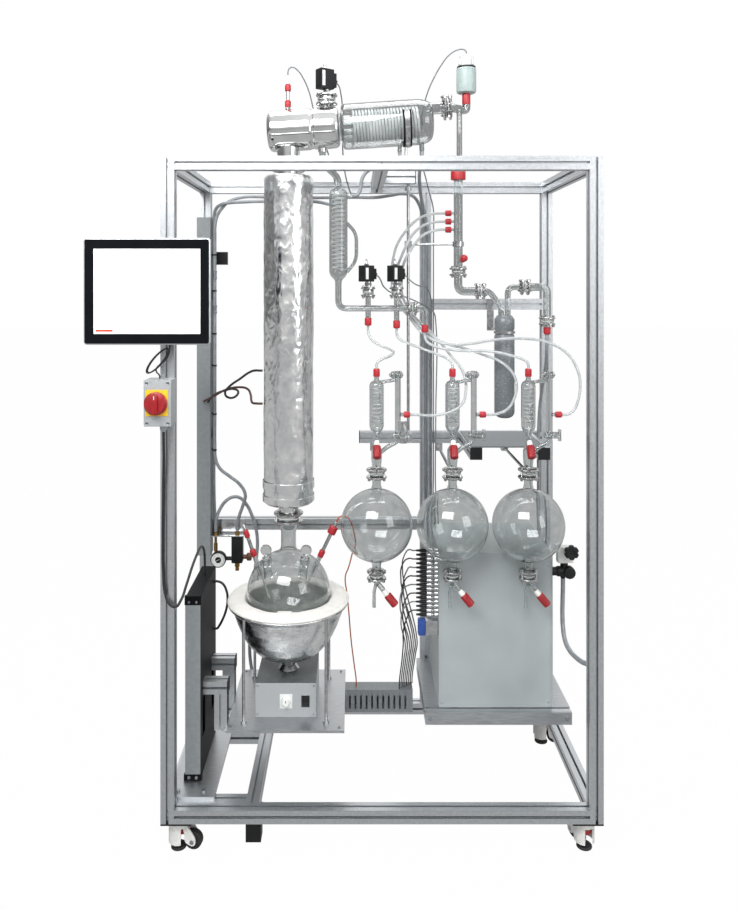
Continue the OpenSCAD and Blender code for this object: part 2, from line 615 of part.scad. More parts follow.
module lift_column() {
  x1 = lift_x + lift_w;
  z1 = lift_z + lift_h;
  cover = 12;
  color([0.1, 0.1, 0.11]) difference() {
    block(lift_x, x1, lift_y[0], lift_y[1], lift_z, z1);
    block(lift_x + lift_wall, x1 - lift_wall, lift_y[0] + lift_wall, lift_y[1] - lift_wall,
      lift_z + lift_wall, z1 - lift_wall);
    for (y = arm_y) block(x1 - lift_wall - 1, x1 + 1, y - p / 2 - 2, y + p / 2 + 2,
      carriage_z - p / 2 - lift_travel - 3, carriage_z + p / 2 + 3);
  }
  color("lightslategray") block(lift_x, x1, lift_y[0] - cover, lift_y[0], lift_z + 18, z1 - 24);
  color("black") block(lift_x - 4, x1 + 4, lift_y[0] - cover - 2, lift_y[0], lift_z, lift_z + 18);
  color("silver") block(lift_x - 2, x1 + 2, lift_y[0] - cover, lift_y[0], z1 - 24, z1 + 4);
  color("silver") {
    for (y = guide_y) translate([lift_x + lift_w / 2, y, lift_z + lift_wall])
      cylinder(r = guide_r, h = lift_h - 2 * lift_wall);
    translate([lift_x + lift_w / 2, (guide_y[0] + guide_y[1]) / 2, lift_z + lift_wall])
      cylinder(r = screw_r, h = lift_h - 2 * lift_wall);
  }
}

module lift_base() {
  color("silver") block(-hx + 10, lift_x + lift_w + 57, -hy + 48, 130, base_z + p, lift_z);
}

// Block on the guide rods with two bent arms that reach under the platform's edge
module lift_carriage() {
  block_x = [lift_x + lift_wall + 2, lift_x + lift_w - lift_wall - 2];
  color("silver") difference() {
    block(block_x[0], block_x[1], arm_y[0] - p / 2, arm_y[1] + p / 2, carriage_z - 25, carriage_z + 25);
    for (y = guide_y) translate([lift_x + lift_w / 2, y, carriage_z - 30]) cylinder(r = guide_r + fit_gap, h = 60);
    translate([lift_x + lift_w / 2, (guide_y[0] + guide_y[1]) / 2, carriage_z - 30])
      cylinder(r = screw_r + 0.5, h = 60);
  }
  color("gainsboro") for (y = arm_y) {
    bar_x(block_x[1], platform_x, y, carriage_z);
    bar_z(platform_z - 20, carriage_z - p / 2, drop_x, y);
  }
  color([0.09, 0.09, 0.1]) for (y = arm_y)
    block(platform_x, platform_x + cap_t, y - p / 2, y + p / 2, carriage_z - p / 2, carriage_z + p / 2);
}

module mantle_platform() {
  color("silver") block(platform_x, platform_x + platform_w, -platform_d / 2 + 8, platform_d / 2 + 8,
    platform_z - platform_t, platform_z);
}

module mantle_box() {
  color("lightgray") {
    difference() {
      block(column_x - box_w / 2, column_x + box_w / 2, -box_d / 2, box_d / 2, platform_z, platform_z + box_h);
      block(column_x - box_w / 2 + box_wall, column_x + box_w / 2 - box_wall, -box_d / 2 - 1,
        box_d / 2 - box_wall, platform_z + box_wall, platform_z + box_h - box_wall);
    }
    difference() {
      block(column_x - box_w / 2, column_x + box_w / 2, panel_y, -box_d / 2, platform_z, platform_z + box_h);
      along([dial_x, panel_y - 1, dial_z], [0, 1, 0]) cylinder(r = 3 + fit_gap, h = panel_t + 2);
      block(rocker_x - 10.5, rocker_x + 10.5, panel_y - 1, panel_y + panel_t + 1, dial_z - 15, dial_z + 15);
    }
  }
}

module mantle_dial() {
  color("whitesmoke") union() {
    along([dial_x, panel_y - seat_gap - 14, dial_z], [0, 1, 0]) cylinder(r = 11, h = 14);
    along([dial_x, panel_y - seat_gap - 5, dial_z], [0, 1, 0]) cylinder(r = 15, h = 5);
    along([dial_x, panel_y - 5, dial_z], [0, 1, 0]) cylinder(r = 3, h = panel_t + 12);
  }
}

module mantle_rocker() {
  color([0.06, 0.06, 0.07]) translate([rocker_x, panel_y + 3, dial_z]) rotate([90, 0, 90]) union() {
    translate([0, 0, -10]) linear_extrude(20)
      polygon([[-3.5, -14.5], [-4.5, -4], [-6.5, 12], [-2.5, 14.5], [4, 13], [6, 0], [4, -13]]);
    translate([0, 0, -10.4]) cylinder(r = 3, h = 20.8);
  }
}

module mantle_stand() {
  color("silver") {
    translate([column_x, 0, platform_z + box_h]) union() {
      cylinder(r = 24, h = pedestal_h);
      cylinder(r1 = 36, r2 = 24, h = 14);
    }
    for (sx = [-1, 1]) for (sy = [-1, 1]) translate([column_x + sx * rod_x, sy * rod_y, platform_z]) union() {
      cylinder(r = rod_r, h = ring_z - platform_z);
      cylinder(r = 9, h = 7);
    }
  }
}

// Spun bowl and the cup for the flask, joined by the ring that the rods carry.
// The space between them opens downwards over the pedestal.
module mantle_bowl() {
  skin = 3;
  cup = boiler_r + seat_gap;
  outer = [[20, bowl_z], [bowl_r - 96, bowl_z], [bowl_r - 54, bowl_z + 16], [bowl_r - 24, bowl_z + 48],
    [bowl_r - 7, bowl_z + 96], [bowl_r, ring_z], [rim_r, ring_z], [rim_r, ring_z + ring_t]];
  inner = [[cup + 1.5, ring_z + ring_t], [cup + 1.5, ring_z], [bowl_r - skin, ring_z],
    [bowl_r - 7 - skin, bowl_z + 96], [bowl_r - 24 - skin, bowl_z + 49], [bowl_r - 55 - skin, bowl_z + 19],
    [bowl_r - 97, bowl_z + skin], [20, bowl_z + skin]];
  color("silver") translate([column_x, 0, 0]) {
    rotate_extrude() polygon(concat(outer, inner));
    rotate_extrude() difference() {
      translate([0, boiler_z]) circle(cup + 4);
      translate([0, boiler_z]) circle(cup);
      translate([-2 * cup, boiler_z - 2 * cup]) square([2 * cup, 4 * cup]);
      translate([-1, ring_z + ring_t]) square([2 * cup, 2 * cup]);
    }
  }
}

module mantle_rim() {
  mid = (boiler_r + rim_r) / 2;
  color("white") translate([column_x, 0, 0]) difference() {
    rotate_extrude() polygon([[boiler_r - 20, ring_z + ring_t], [rim_r, ring_z + ring_t], [rim_r + 2, ring_z + 11],
      [rim_r - 3, ring_z + 18], [mid, rim_top], [boiler_r + 4, ring_z + 20], [boiler_r - 20, ring_z + 12]]);
    translate([0, 0, boiler_z]) sphere(r = boiler_r + seat_gap);
  }
}

// Side necks of the boiler: base point, direction, length, radius
boiler_necks = [
  [[column_x - 57, -90, boiler_z + 78], unit([-0.08, -0.1, 0.99]), 62, 14],
  [[column_x + 52, -90, boiler_z + 78], unit([0.13, -0.1, 0.98]), 62, 14],
  [[column_x - 88, -20, boiler_z + 62], unit([-0.34, 0, 0.94]), 67, 8],
  [[column_x + 80, -20, boiler_z + 70], unit([0.43, 0, 0.9]), 59, 8]];
// Distance from a probe's lower screw cap to its upper one, and its length above the neck
probe_caps = [66, 84];
probe_top = [110, 126];
function neck_end(k) = boiler_necks[k][0] + boiler_necks[k][2] * boiler_necks[k][1];

module boiler_flask() {
  wall = glass_wall + 1;
  color(clear_glass) {
    difference() {
      union() {
        translate([column_x, 0, boiler_z]) sphere(r = boiler_r);
        translate([column_x, 0, boiler_z]) cylinder(r = neck_r, h = neck_top - boiler_z);
        translate([column_x, 0, neck_top - flange_t - 34]) cylinder(r1 = neck_r, r2 = flange_r - 6, h = 34);
        translate([column_x, 0, neck_top - flange_t]) cylinder(r = flange_r, h = flange_t);
        for (n = boiler_necks) along(n[0], n[1]) cylinder(r = n[3], h = n[2]);
      }
      translate([column_x, 0, boiler_z]) sphere(r = boiler_r - wall);
      translate([column_x, 0, boiler_z]) cylinder(r = neck_r - wall, h = neck_top - boiler_z + 1);
      for (n = boiler_necks) along(n[0] - 10 * n[1], n[1]) cylinder(r = n[3] - 2.5, h = n[2] + 11);
    }
    // Stoppers with a flat round head in the two wide necks
    for (k = [0, 1]) along(neck_end(k), boiler_necks[k][1]) union() {
      translate([0, 0, -24]) cylinder(r = boiler_necks[k][3] - 2.5 - seat_gap, h = 24);
      cylinder(r = 15, h = 9);
      cylinder(r = 8, h = 20);
      translate([-4, 0, 31]) rotate([0, 90, 0]) cylinder(r = 18, h = 8);
    }
  }
}

module column_tube() {
  wall = 4;
  foot = neck_top;
  color(clear_glass) translate([column_x, 0, 0]) rotate_extrude() polygon([
    [neck_r - wall, foot], [flange_r, foot], [flange_r, foot + flange_t], [neck_r + 8, foot + flange_t],
    [neck_r + 8, column_z - 8], [column_glass_r, column_z + 14], [column_glass_r, column_top - 24],
    [38, column_top - 4], [38, top_z + 5], [46, top_z + 5], [46, top_z + 12], [34, top_z + 12],
    [34, column_top - 10], [column_bore_r, column_top - 30], [column_bore_r, column_z + 24],
    [neck_r - wall, column_z + 24]]);
}

module column_packing() {
  low = column_z + 24;
  high = column_top - 44;
  color("gray") translate([column_x, 0, low]) cylinder(r = column_bore_r - seat_gap, h = high - low);
}

module column_jacket() {
  r = column_d / 2;
  inner = column_glass_r + seat_gap;
  color("silver") translate([column_x, 0, 0]) rotate_extrude() polygon([[inner, column_z + 16], [inner, column_z + 4],
    [r - 6, column_z], [r, column_z + 8], [r, column_top - 14], [r - 12, column_top],
   [r - 24, column_top + 2],
    [inner, column_top - 26]]);
}

module column_head() {
  wall = glass_wall;
  len = head_u[1] - head_u[0];
  skin = [[24, 0], [head_r - 16, 2], [head_r - 4, 9], [head_r, 22], [head_r, len - 14], [head_r - 4, len - 5],
    [head_r - 10, len], [45, len]];
  color("silver") difference() {
    union() {
      on_head(head_u[0]) rotate_extrude() polygon(concat([[0, 0]], skin, [[0, len]]));
      translate([column_x, 0, top_z + 12]) cylinder(r = 38, h = head_z - top_z - 12);
      translate([column_x, 0, top_z + 12]) cylinder(r = 46, h = 7);
      stick([product_outlet_x, 0, top_z + 64], [product_outlet_x, 0, head_z], 15);
      stick([head_valve_x, 0, head_z], [head_valve_x, 0, head_z + head_r + 34], 22);
      stick([head_valve_x, 0, head_z + head_r + 23], [head_valve_x, 0, head_z + head_r + 34], 25);
      stick([head_probe_x, 0, head_z], [head_probe_x, 0, head_z + head_r + 9], 8);
    }
    on_head(head_u[0] + wall) rotate_extrude()
      polygon(concat([[0, 0]], [for (q = skin) [q[0] - wall, q[1]]], [[0, len]]));
    translate([column_x, 0, top_z + 11]) cylinder(r = 34, h = head_z - top_z);
    stick([product_outlet_x, 0, top_z + 60], [product_outlet_x, 0, head_z], 12);
    stick([head_valve_x, 0, head_z], [head_valve_x, 0, head_z + head_r + 40], 19);
    stick([head_probe_x, 0, head_z], [head_probe_x, 0, head_z + head_r + 20], 5);
  }
}

module condenser_jacket() {
  wall = glass_wall;
  r = condenser_r;
  len = condenser_u[1] - condenser_u[0];
  neck = 20;
  outer = [[45, -6], [45, 0], [r - 7, 2], [r - 2, 7], [r, 14], [r, len - 40], [r - 5, len - 20],
    [r - 17, len - 6], [r - 34, len], [0, len + 3]];
  inner = [[0, len + 3 - wall], [r - 35, len - wall], [r - 18 - wall / 2, len - 6 - wall], [r - 5 - wall, len - 21],
    [r - wall, len - 41], [r - wall, 15], [r - 2 - wall, 9], [r - 8 - wall, 2 + wall], [45 - wall, wall],
    [45 - wall, -6]];
  color(clear_glass) difference() {
    union() {
      on_head(condenser_u[0]) rotate_extrude() polygon(concat(outer, inner));
      on_head(condenser_u[1] - 12) translate([0, outlet_rise, 0]) cylinder(r = neck, h = outlet_u - condenser_u[1] + 12);
      on_head(outlet_u - 6) translate([0, outlet_rise, 0]) cylinder(r = 31, h = 6);
      for (u = nozzle_u) translate(head_at(u)) translate([0, 0, -condenser_r - 21]) cylinder(r = 7, h = 22);
    }
    on_head(condenser_u[1] - 30) translate([0, outlet_rise, 0]) cylinder(r = neck - wall, h = outlet_u - condenser_u[1] + 31);
    for (u = nozzle_u) translate(head_at(u)) translate([0, 0, -condenser_r - 22]) cylinder(r = 4.5, h = 32);
  }
}

// Joints of the glass lines: centre, direction, radius of the clamp's rings, bore of the tubes
joint_gap = 14;
glass_joints = [
  [[manifold_end, 0, manifold_z], [1, 0, 0], 24, 7.5],
  [[down_x + 74, 0, line_z], [1, 0, 0], 28, 7.5],
  [[trap_x + 68, 0, line_z + 14], [1, 0, 0], 27, 7.5],
  [[down_x, 0, line_z + 65], [0, 0, 1], 29, 11.5],
  [[trap_valve_x, 0, trap_top - 20], [0, 0, 1], 27, 7.5]];

module joint_flanges(j) {
  r = j[2] - 9.5;
  pipe(j[0] - joint_gap / 2 * j[1], j[0] + joint_gap / 2 * j[1], r, r - j[3]);
}

// Cooling coils of condenser, product cooler and receiver coolers
cooler_coil_r = 19;
cooler_coil_tube = 3.5;
cooler_coil_pitch = 14;
cooler_coil_turns = 18;
receiver_coil_r = 13;
receiver_coil_tube = 2.5;
receiver_coil_pitch = 13;
receiver_coil_turns = 9;
condenser_coil = coil(coil_r, coil_pitch, coil_turns, condenser_r - glass_wall - seat_gap);
cooler_coil = coil(cooler_coil_r, cooler_coil_pitch, cooler_coil_turns, cooler_r - glass_wall - seat_gap);
receiver_coil = coil(receiver_coil_r, receiver_coil_pitch, receiver_coil_turns, cooler2_r - 2 - seat_gap);
echo(least_gap_condenser = coil_gap(condenser_coil, 2 * coil_tube_r),
  least_gap_cooler = coil_gap(cooler_coil, 2 * cooler_coil_tube),
  least_gap_receiver = coil_gap(receiver_coil, 2 * receiver_coil_tube));

module glass_coils() {
  color([0.85, 0.9, 0.92]) {
    on_head(condenser_u[0] + 40) rotate(180) swept(condenser_coil, 2 * coil_tube_r, 6);
    translate([cooler_x, 0, cooler_bottom + 20]) rotate(180) swept(cooler_coil, 2 * cooler_coil_tube, 6);
    for (x = receiver_x) translate([x, receiver_y, cooler2_z[0] + 20]) swept(receiver_coil, 2 * receiver_coil_tube, 6);
  }
}

module product_cooler() {
  wall = glass_wall;
  tee = 9;
  top = cooler_top;
  low = cooler_bottom;
  outer = [[10.5, low - 28], [cooler_r - 5, low - 4], [cooler_r, low + 8], [cooler_r, top - 14],
    [cooler_r - 6, top - 4], [12, top]];
  inner = [[9, top], [9, top - 3], [cooler_r - 9, top - 7], [cooler_r - wall, top - 15],
    [cooler_r - wall, low + 9], [cooler_r - 8, low - 2], [7.5, low - 26], [7.5, low - 28]];
  color(clear_glass) {
    // Jacket with its two hose nozzles
    difference() {
      union() {
        translate([cooler_x, 0, 0]) rotate(220) rotate_extrude() polygon(concat(outer, inner));
        stick([cooler_x + cooler_r - 1.5, 0, top - 24], [cooler_x + 46, 0, top - 24], 6);
        stick([cooler_x, cooler_r - 1.5, top - 54], [cooler_x, 46, top - 54], 6);
      }
      stick([cooler_x + cooler_r - 6, 0, top - 24], [cooler_x + 47, 0, top - 24], 4);
      stick([cooler_x, cooler_r - 6, top - 54], [cooler_x, 47, top - 54], 4);
    }
    // Inlet from the head
    glass_run([[cooler_x, 0, top + hairline], [cooler_x, 0, top + 34], [product_outlet_x, 0, top + 84],
      [product_outlet_x, 0, top_z + 64]], 11, 18);
    // Outlet bend, and the manifold with its two tees
    glass_run([[cooler_x, 0, low - 28 - hairline], [cooler_x, 0, manifold_z], [cooler_x + 40, 0, manifold_z]], 10.5, 28, 3);
    difference() {
      union() {
        stick([cooler_x + 40 + hairline, 0, manifold_z], [manifold_end - joint_gap / 2 - hairline, 0, manifold_z], 10.5);
        for (k = [0, 1]) stick([valve_x[k], 0, valve_stub_z[k]], [valve_x[k], 0, manifold_z + 55], tee);
        for (k = [0, 1]) stick([valve_x[k], 0, manifold_z + 46], [valve_x[k], 0, manifold_z + 55], 15);
      }
      stick([cooler_x + 39, 0, manifold_z], [manifold_end, 0, manifold_z], 7.5);
      for (k = [0, 1]) stick([valve_x[k], 0, valve_stub_z[k] - 1], [valve_x[k], 0, manifold_z + 56], tee - 2.5);
    }
    // Bypass tube beside the jacket
    glass_run([[cooler_x + cooler_r - 2, 0, top - 116], [cooler_x + 60, 0, top - 150],
      [cooler_x + 60, 0, low + 50], [cooler_x + cooler_r - 2, 0, low + 12]], 6, 26, 2);
    // Third outlet beyond the joint clamp
    joint_flanges(glass_joints[0]);
    glass_run([[manifold_end + joint_gap / 2 + hairline, 0, manifold_z], [outlet_x, 0, manifold_z],
      [outlet_x, 0, outlet_stub_z]], 10, 18, 2.5);
  }
}

module vacuum_line() {
  wall = 2.5;
  e = head_at(outlet_u) + outlet_rise * [-sin(head_slope), 0, cos(head_slope)];
  axis = [cos(head_slope), 0, sin(head_slope)];
  knee = e + 34 * axis;
  sensor = [column_x + 592, 0, head_z + 87];
  color(clear_glass) {
    // Flange and elbow behind the condenser, with the branch that leads down
    difference() {
      union() {
        along(e, axis) cylinder(r = 31, h = 6);
        stick(e, knee + 8 * axis, 15);
        stick(knee - [4, 0, 6], sensor - [0, 0, 18], 13);
        translate(sensor - [0, 0, 18]) sphere(r = 14);
        stick(sensor - [0, 0, 22], sensor, 14.5);
        stick([down_x + 4, 0, knee.z], [down_x + 4, 0, top_z + 1.1], 9.5);
      }
      along(e - axis, axis) cylinder(r = 11.5, h = 36);
      stick(knee, sensor - [0, 0, 17], 10);
      stick(sensor - [0, 0, 20], sensor + [0, 0, 1], 8.5);
      stick([down_x + 4, 0, knee.z], [down_x + 4, 0, top_z], 7);
    }
    // Down tube with three side ports and a ball-capped port
    difference() {
      union() {
        stick([down_x, 0, line_z + 65 + joint_gap / 2], [down_x, 0, top_z - 29], down_r);
        for (z = port_z) stick([down_x, 0, z], [down_x - 23, 0, z], 6);
        stick([down_x, 0, top_z - 312], [down_x + 10, -24, top_z - 298], 6);
      }
      stick([down_x, 0, line_z + 64], [down_x, 0, top_z - 28], down_r - wall);
      for (z = port_z) stick([down_x, 0, z], [down_x - 24, 0, z], 3.5);
    }
    // Bend to the cold trap
    for (k = [1 : 4]) joint_flanges(glass_joints[k]);
    glass_run([[down_x, 0, line_z + 65 - joint_gap / 2], [down_x, 0, line_z],
      [down_x + 74 - joint_gap / 2, 0, line_z]], 14, 24, wall);
    glass_run([[down_x + 74 + joint_gap / 2, 0, line_z], [down_x + 104, 0, line_z], [trap_x - 11, 0, trap_top + 26],
      [trap_x - 11, 0, trap_top]], 10, 20, wall);
    // Trap with a waist for its holder
    translate([trap_x, 0, 0]) rotate_extrude() polygon([[0, trap_bottom], [12, trap_bottom + 2],
      [24, trap_bottom + 9], [trap_r, trap_bottom + 26], [trap_r, trap_top - 70],
   [trap_r - 4, trap_top - 62],
      [trap_r - 4, trap_top - 52], [trap_r, trap_top - 46], [trap_r, trap_top - 12], [24, trap_top],
      [0, trap_top], [0, trap_top - 3], [22, trap_top - 4], [trap_r - 3, trap_top - 14],
      [trap_r - 3, trap_top - 45], [trap_r - 7, trap_top - 51], [trap_r - 7, trap_top - 63],
      [trap_r - 3, trap_top - 71], [trap_r - 3, trap_bottom + 28], [21, trap_bottom + 12],
      [10, trap_bottom + 5], [0, trap_bottom + 4]]);
    // Cold finger inside it
    translate([trap_x - 11, 0, trap_bottom + 60]) cylinder(r = 9, h = trap_top - 3 - trap_bottom - 60);
    glass_run([[trap_x + 11, 0, trap_top], [trap_x + 11, 0, line_z + 14], [trap_x + 68 - joint_gap / 2, 0, line_z + 14]], 10, 24, wall);
    glass_run([[trap_x + 68 + joint_gap / 2, 0, line_z + 14], [trap_valve_x, 0, line_z + 14],
      [trap_valve_x, 0, trap_top - 20 + joint_gap / 2]], 13, 20, wall);
    pipe([trap_valve_x, 0, trap_top - 20 - joint_gap / 2], [trap_valve_x, 0, trap_top - 40], 10, wall);
  }
}

module cap(a, d, r, h, bore = 0) {
  along(a, d) difference() {
    cylinder(r = r, h = h);
    if (bore > 0) translate([0, 0, -1]) cylinder(r = bore, h = h + 2);
  }
}

probe_r = 3;
probe_bore = probe_r + 0.2;
probe_axes = [for (k = [2, 3]) boiler_necks[k]];

module screw_caps() {
  up = [0, 0, 1];
  color("crimson") {
    for (k = [0, 1]) cap([valve_x[k], 0, valve_stub_z[k]], -up, 11.5, 26);
    cap([outlet_x, 0, outlet_stub_z], -up, 11.5, 26);
    for (z = port_z) cap([down_x - 23, 0, z], [-1, 0, 0], 10, 20);
    cap([down_x, 0, top_z - 29], up, 25, 30);
    along([down_x + 10, -24, top_z - 298], unit([10, -24, 14])) union() {
      cylinder(r = 9, h = 8);
      translate([0, 0, 15]) sphere(r = 12);
    }
    cap([column_x + 592, 0, head_z + 87], up, 14, 36);
    cap([trap_valve_x, 0, trap_top - 40], -up, 12, 24);
    for (x = receiver_x) {
      cap([x, receiver_y, cooler2_z[1] + 14], up, 10.5, 26);
      cap([x + vent_dx + 19, receiver_y, port_side_z], [1, 0, 0], 10, 20);
    }
    for (dz = [9, 62]) cap([head_probe_x, 0, head_z + head_r + dz], up, 10, 22, probe_bore);
    for (k = [2, 3]) {
      cap(neck_end(k), boiler_necks[k][1], 10, 24, probe_bore);
      cap(neck_end(k) + probe_caps[k - 2] * boiler_necks[k][1], boiler_necks[k][1], k == 2 ? 9 : 14, 26, probe_bore);
    }
  }
}

module temperature_probes() {
  color("whitesmoke") {
    for (k = [2, 3]) stick(boiler_necks[k][0] - 80 * boiler_necks[k][1],
      neck_end(k) + probe_top[k - 2] * boiler_necks[k][1], probe_r);
    stick([head_probe_x, 0, head_z - 40], [head_probe_x, 0, head_z + head_r + 94], probe_r);
    stick([head_probe_x, 0, head_z + head_r + 94], [head_probe_x, 0, head_z + head_r + 115], 8);
  }
}

// Two rings and three bolts that press a pair of glass flanges together, centred on the joint
module ring_clamp(r, gap, bolt = 3) {
  ring = 7;
  union() {
    for (s = [-1, 1]) translate([0, 0, s * (gap / 2 + ring / 2) - ring / 2]) difference() {
      cylinder(r = r, h = ring);
      translate([0, 0, -1]) cylinder(r = r - 13, h = ring + 2);
    }
    for (a = [90 : 120 : 330]) rotate(a) translate([r - 5.4, 0, -gap / 2 - ring - 6]) {
      cylinder(r = bolt, h = gap + 2 * ring + 12);
      translate([0, 0, 1]) cylinder(r = bolt + 2.5, h = 5.5, $fn = 6);
      translate([0, 0, gap + 2 * ring + 5.5]) cylinder(r = bolt + 2.5, h = 5.5, $fn = 6);
    }
  }
}

module joint_clamps() {
  color("lightgray") {
    translate([column_x, 0, neck_top]) ring_clamp(49, 2 * flange_t);
    translate([column_x, 0, top_z + 12]) ring_clamp(55, 14);
    on_head(outlet_u) translate([0, outlet_rise, 0]) ring_clamp(42, 12);
    translate([head_valve_x, 0, head_z + head_r + 34]) ring_clamp(36, 22);
    for (k = [0, 1]) translate([valve_x[k], 0, manifold_z + 55]) ring_clamp(24, 18, 2.5);
    for (x = receiver_x) {
      translate([x, receiver_y, joint_z]) ring_clamp(33, 18, 2.5);
      translate([x, receiver_y, bottom_joint_z]) ring_clamp(31, 16, 2.5);
    }
    for (j = glass_joints) along(j[0], j[1]) ring_clamp(j[2], joint_gap, 2.5);
  }
}

module support_rods() {
  strap = head_at(strap_u);
  band_r = condenser_r + seat_gap;
  rod = 5;
  color("silver") {
    // Cradle strap under the condenser on a threaded rod
    on_head(strap_u - 14) difference() {
      cylinder(r = band_r + 3, h = 28);
      translate([0, 0, -1]) cylinder(r = band_r, h = 30);
      translate([-2 * band_r, strap_end, -1]) cube([4 * band_r, 4 * band_r, 30]);
    }
    on_head(strap_u - 8) difference() {
      cylinder(r = band_r + 6, h = 16);
      translate([0, 0, -1]) cylinder(r = band_r + 3 + seat_gap, h = 18);
      translate([-2 * band_r, strap_end, -1]) cube([4 * band_r, 4 * band_r, 18]);
    }
    stick([strap.x, 0, top_z], [strap.x, 0, strap.z - band_r - 5], rod);
    // Long rod with its heads
    stick([rod_axis_x, rod_axis_y, rod_bottom], [rod_axis_x, rod_axis_y, top_z - p], rod);
    translate([rod_axis_x, rod_axis_y, top_z - p - 22]) cylinder(r = 11, h = 10);
    for (z = [rod_bottom + 15, top_z - 243]) difference() {
      block(rod_axis_x - 12, rod_axis_x + 12, rod_axis_y - 10, rod_axis_y + 12, z - 12, z + 12);
      translate([rod_axis_x, rod_axis_y, z - 13]) cylinder(r = rod + seat_gap, h = 26);
    }
    stick([rod_axis_x, rod_axis_y + 12, rod_bottom + 15], [rod_axis_x, post_y - p / 2 - 10, rod_bottom + 15], rod);
    block(rod_axis_x - 12, rod_axis_x + 12, post_y - p / 2 - 10, post_y - p / 2,
      receiver_rail_z - p / 2, rod_bottom + 25);
    stick([rod_axis_x + 12, rod_axis_y - 6, top_z - 243], [down_x - down_r - 2, 4, top_z - 243], rod - 1);
    difference() {
      translate([down_x, 0, top_z - 251]) cylinder(r = down_r + 4, h = 16);
      translate([down_x, 0, top_z - 252]) cylinder(r = down_r + seat_gap, h = 18);
    }
    // Trap holder on the upper rail
    stick([trap_x, trap_r, trap_top - 57], [trap_x, post_y - p / 2 - 10, trap_top - 57], rod - 1);
    block(trap_x - 12, trap_x + 12, post_y - p / 2 - 10, post_y - p / 2, trap_top - 67, upper_rail_z + p / 2);
    difference() {
      translate([trap_x, 0, trap_top - 61]) cylinder(r = trap_r + 2, h = 8);
      translate([trap_x, 0, trap_top - 62]) cylinder(r = trap_r - 4 + seat_gap, h = 10);
    }
    // Receiver rods under the rail
    for (x = receiver_x) {
      stick([x, receiver_y + 30.8, joint_z], [x, post_y - p / 2 + 6, joint_z], rod);
      block(x - 12, x + 12, post_y - p / 2 + 6, post_y + p / 2 - 6, joint_z - 10, receiver_rail_z - p / 2);
    }
  }
}

// Coil box on a valve body with its flange, plug and stem
module solenoid(a, w, flange, h) {
  translate(a) rotate(35) {
    color("silver") union() {
      translate([0, 0, -34]) cylinder(r = flange, h = h);
      translate([0, 0, -34]) cylinder(r = 10, h = 34);
    }
    color([0.08, 0.08, 0.09]) {
      block(-w / 2, w / 2 - 14, -18, 18, 0, w);
      block(w / 2 - 14, w / 2, -12, 12, 8, w - 10);
    }
    color("silver") translate([-7, 0, w]) cylinder(r = 5, h = 22);
  }
}

module solenoid_valves() {
  for (k = [0, 1]) solenoid([valve_x[k], 0, manifold_z + 89], 54, 15, 9);
  solenoid([head_valve_x, 0, head_z + head_r + 68], 66, 25, 11);
}

module pressure_transmitter() {
  x = column_x + 592;
  z = head_z + 123;
  color([0.66, 0.76, 0.74]) translate([x, 0, z]) rotate_extrude()
    polygon([[0, 0], [26, 0], [33, 8], [33, 80], [30, 84], [0, 84]]);
  color("black") translate([x, 0, z + 84]) cylinder(r = 31, h = 6);
  color("ivory") translate([x, 0, z + 90]) cylinder(r = 17, h = 40);
}

// Shut-off valves point to the front and down
cutoff_dir = unit([0, -0.6, -0.8]);

// Glass of one receiver above its flask: cooler, shut-off body, vent tube with two stopcocks
module receiver_cooler(x) {
  wall = 2;
  top = cooler2_z[1];
  bot = cooler2_z[0];
  vent = [x + vent_dx, receiver_y, 0];
  up = [0, 0, 1];
  color(clear_glass) {
    difference() {
      union() {
        translate([x, receiver_y, 0]) rotate_extrude() polygon([[0, joint_z], [23, joint_z], [23, joint_z + 9],
          [15, joint_z + 9], [14, joint_z + 16], [17, cutoff_z - 50], [17, cutoff_z - 22],
   [8, cutoff_z - 8], [7, bot - 18],
          [cooler2_r - 4, bot + 2], [cooler2_r, bot + 12], [cooler2_r, top - 12], [cooler2_r - 5, top - 2],
          [8, top + 2], [8, top + 14], [0, top + 14]]);
        // Seat of the shut-off valve, towards the front and down
        stick([x, receiver_y, needle_z], [x, receiver_y, needle_z] + cutoff_seat * cutoff_dir, 9);
        // Arms to the vent tube
        stick([x, receiver_y, top - 8], vent + (top + 4) * up, 6);
        stick([x, receiver_y, cutoff_z - 40], vent + (cutoff_z + 22) * up, 7);
        stick(vent + (cutoff_z + 10) * up, vent + (top + 32) * up, vent_r);
        stick(vent + port_side_z * up, vent + [19, 0, port_side_z], 6);
        // Stopcock barrels
        stick(vent + [-22, 0, top + 20], vent + [14, 0, top + 20], 11);
        stick(vent + [-16, 0, cutoff_z + 24], vent + [30, 0, cutoff_z + 24], 11);
      }
      translate([x, receiver_y, 0]) rotate_extrude() polygon([[0, joint_z - 1], [11, joint_z - 1], [11, joint_z + 16],
        [15, cutoff_z - 49], [15, cutoff_z - 24], [5.5, cutoff_z - 9], [5, bot - 17],
   [cooler2_r - 7, bot + 5],
        [cooler2_r - wall, bot + 13], [cooler2_r - wall, top - 13], [cooler2_r - 8, top - 5],
   [5.5, top - 1],
        [5.5, top + 15], [0, top + 15]]);
      stick(vent + (cutoff_z + 40) * up, vent + (top + 4) * up, vent_r - wall);
    }
    // Stopcock keys
    stick(vent + [-24, 0, top + 20.5], vent + [-23, -26, top + 20.5], 5);
    stick(vent + [32, 0, cutoff_z + 6], vent + [32, 0, cutoff_z + 42], 6);
  }
}

module receiver_coolers() {
  for (x = receiver_x) receiver_cooler(x);
}

// Outlet valves point to the right and down
outlet_dir = unit([0.64, -0.1, -0.76]);

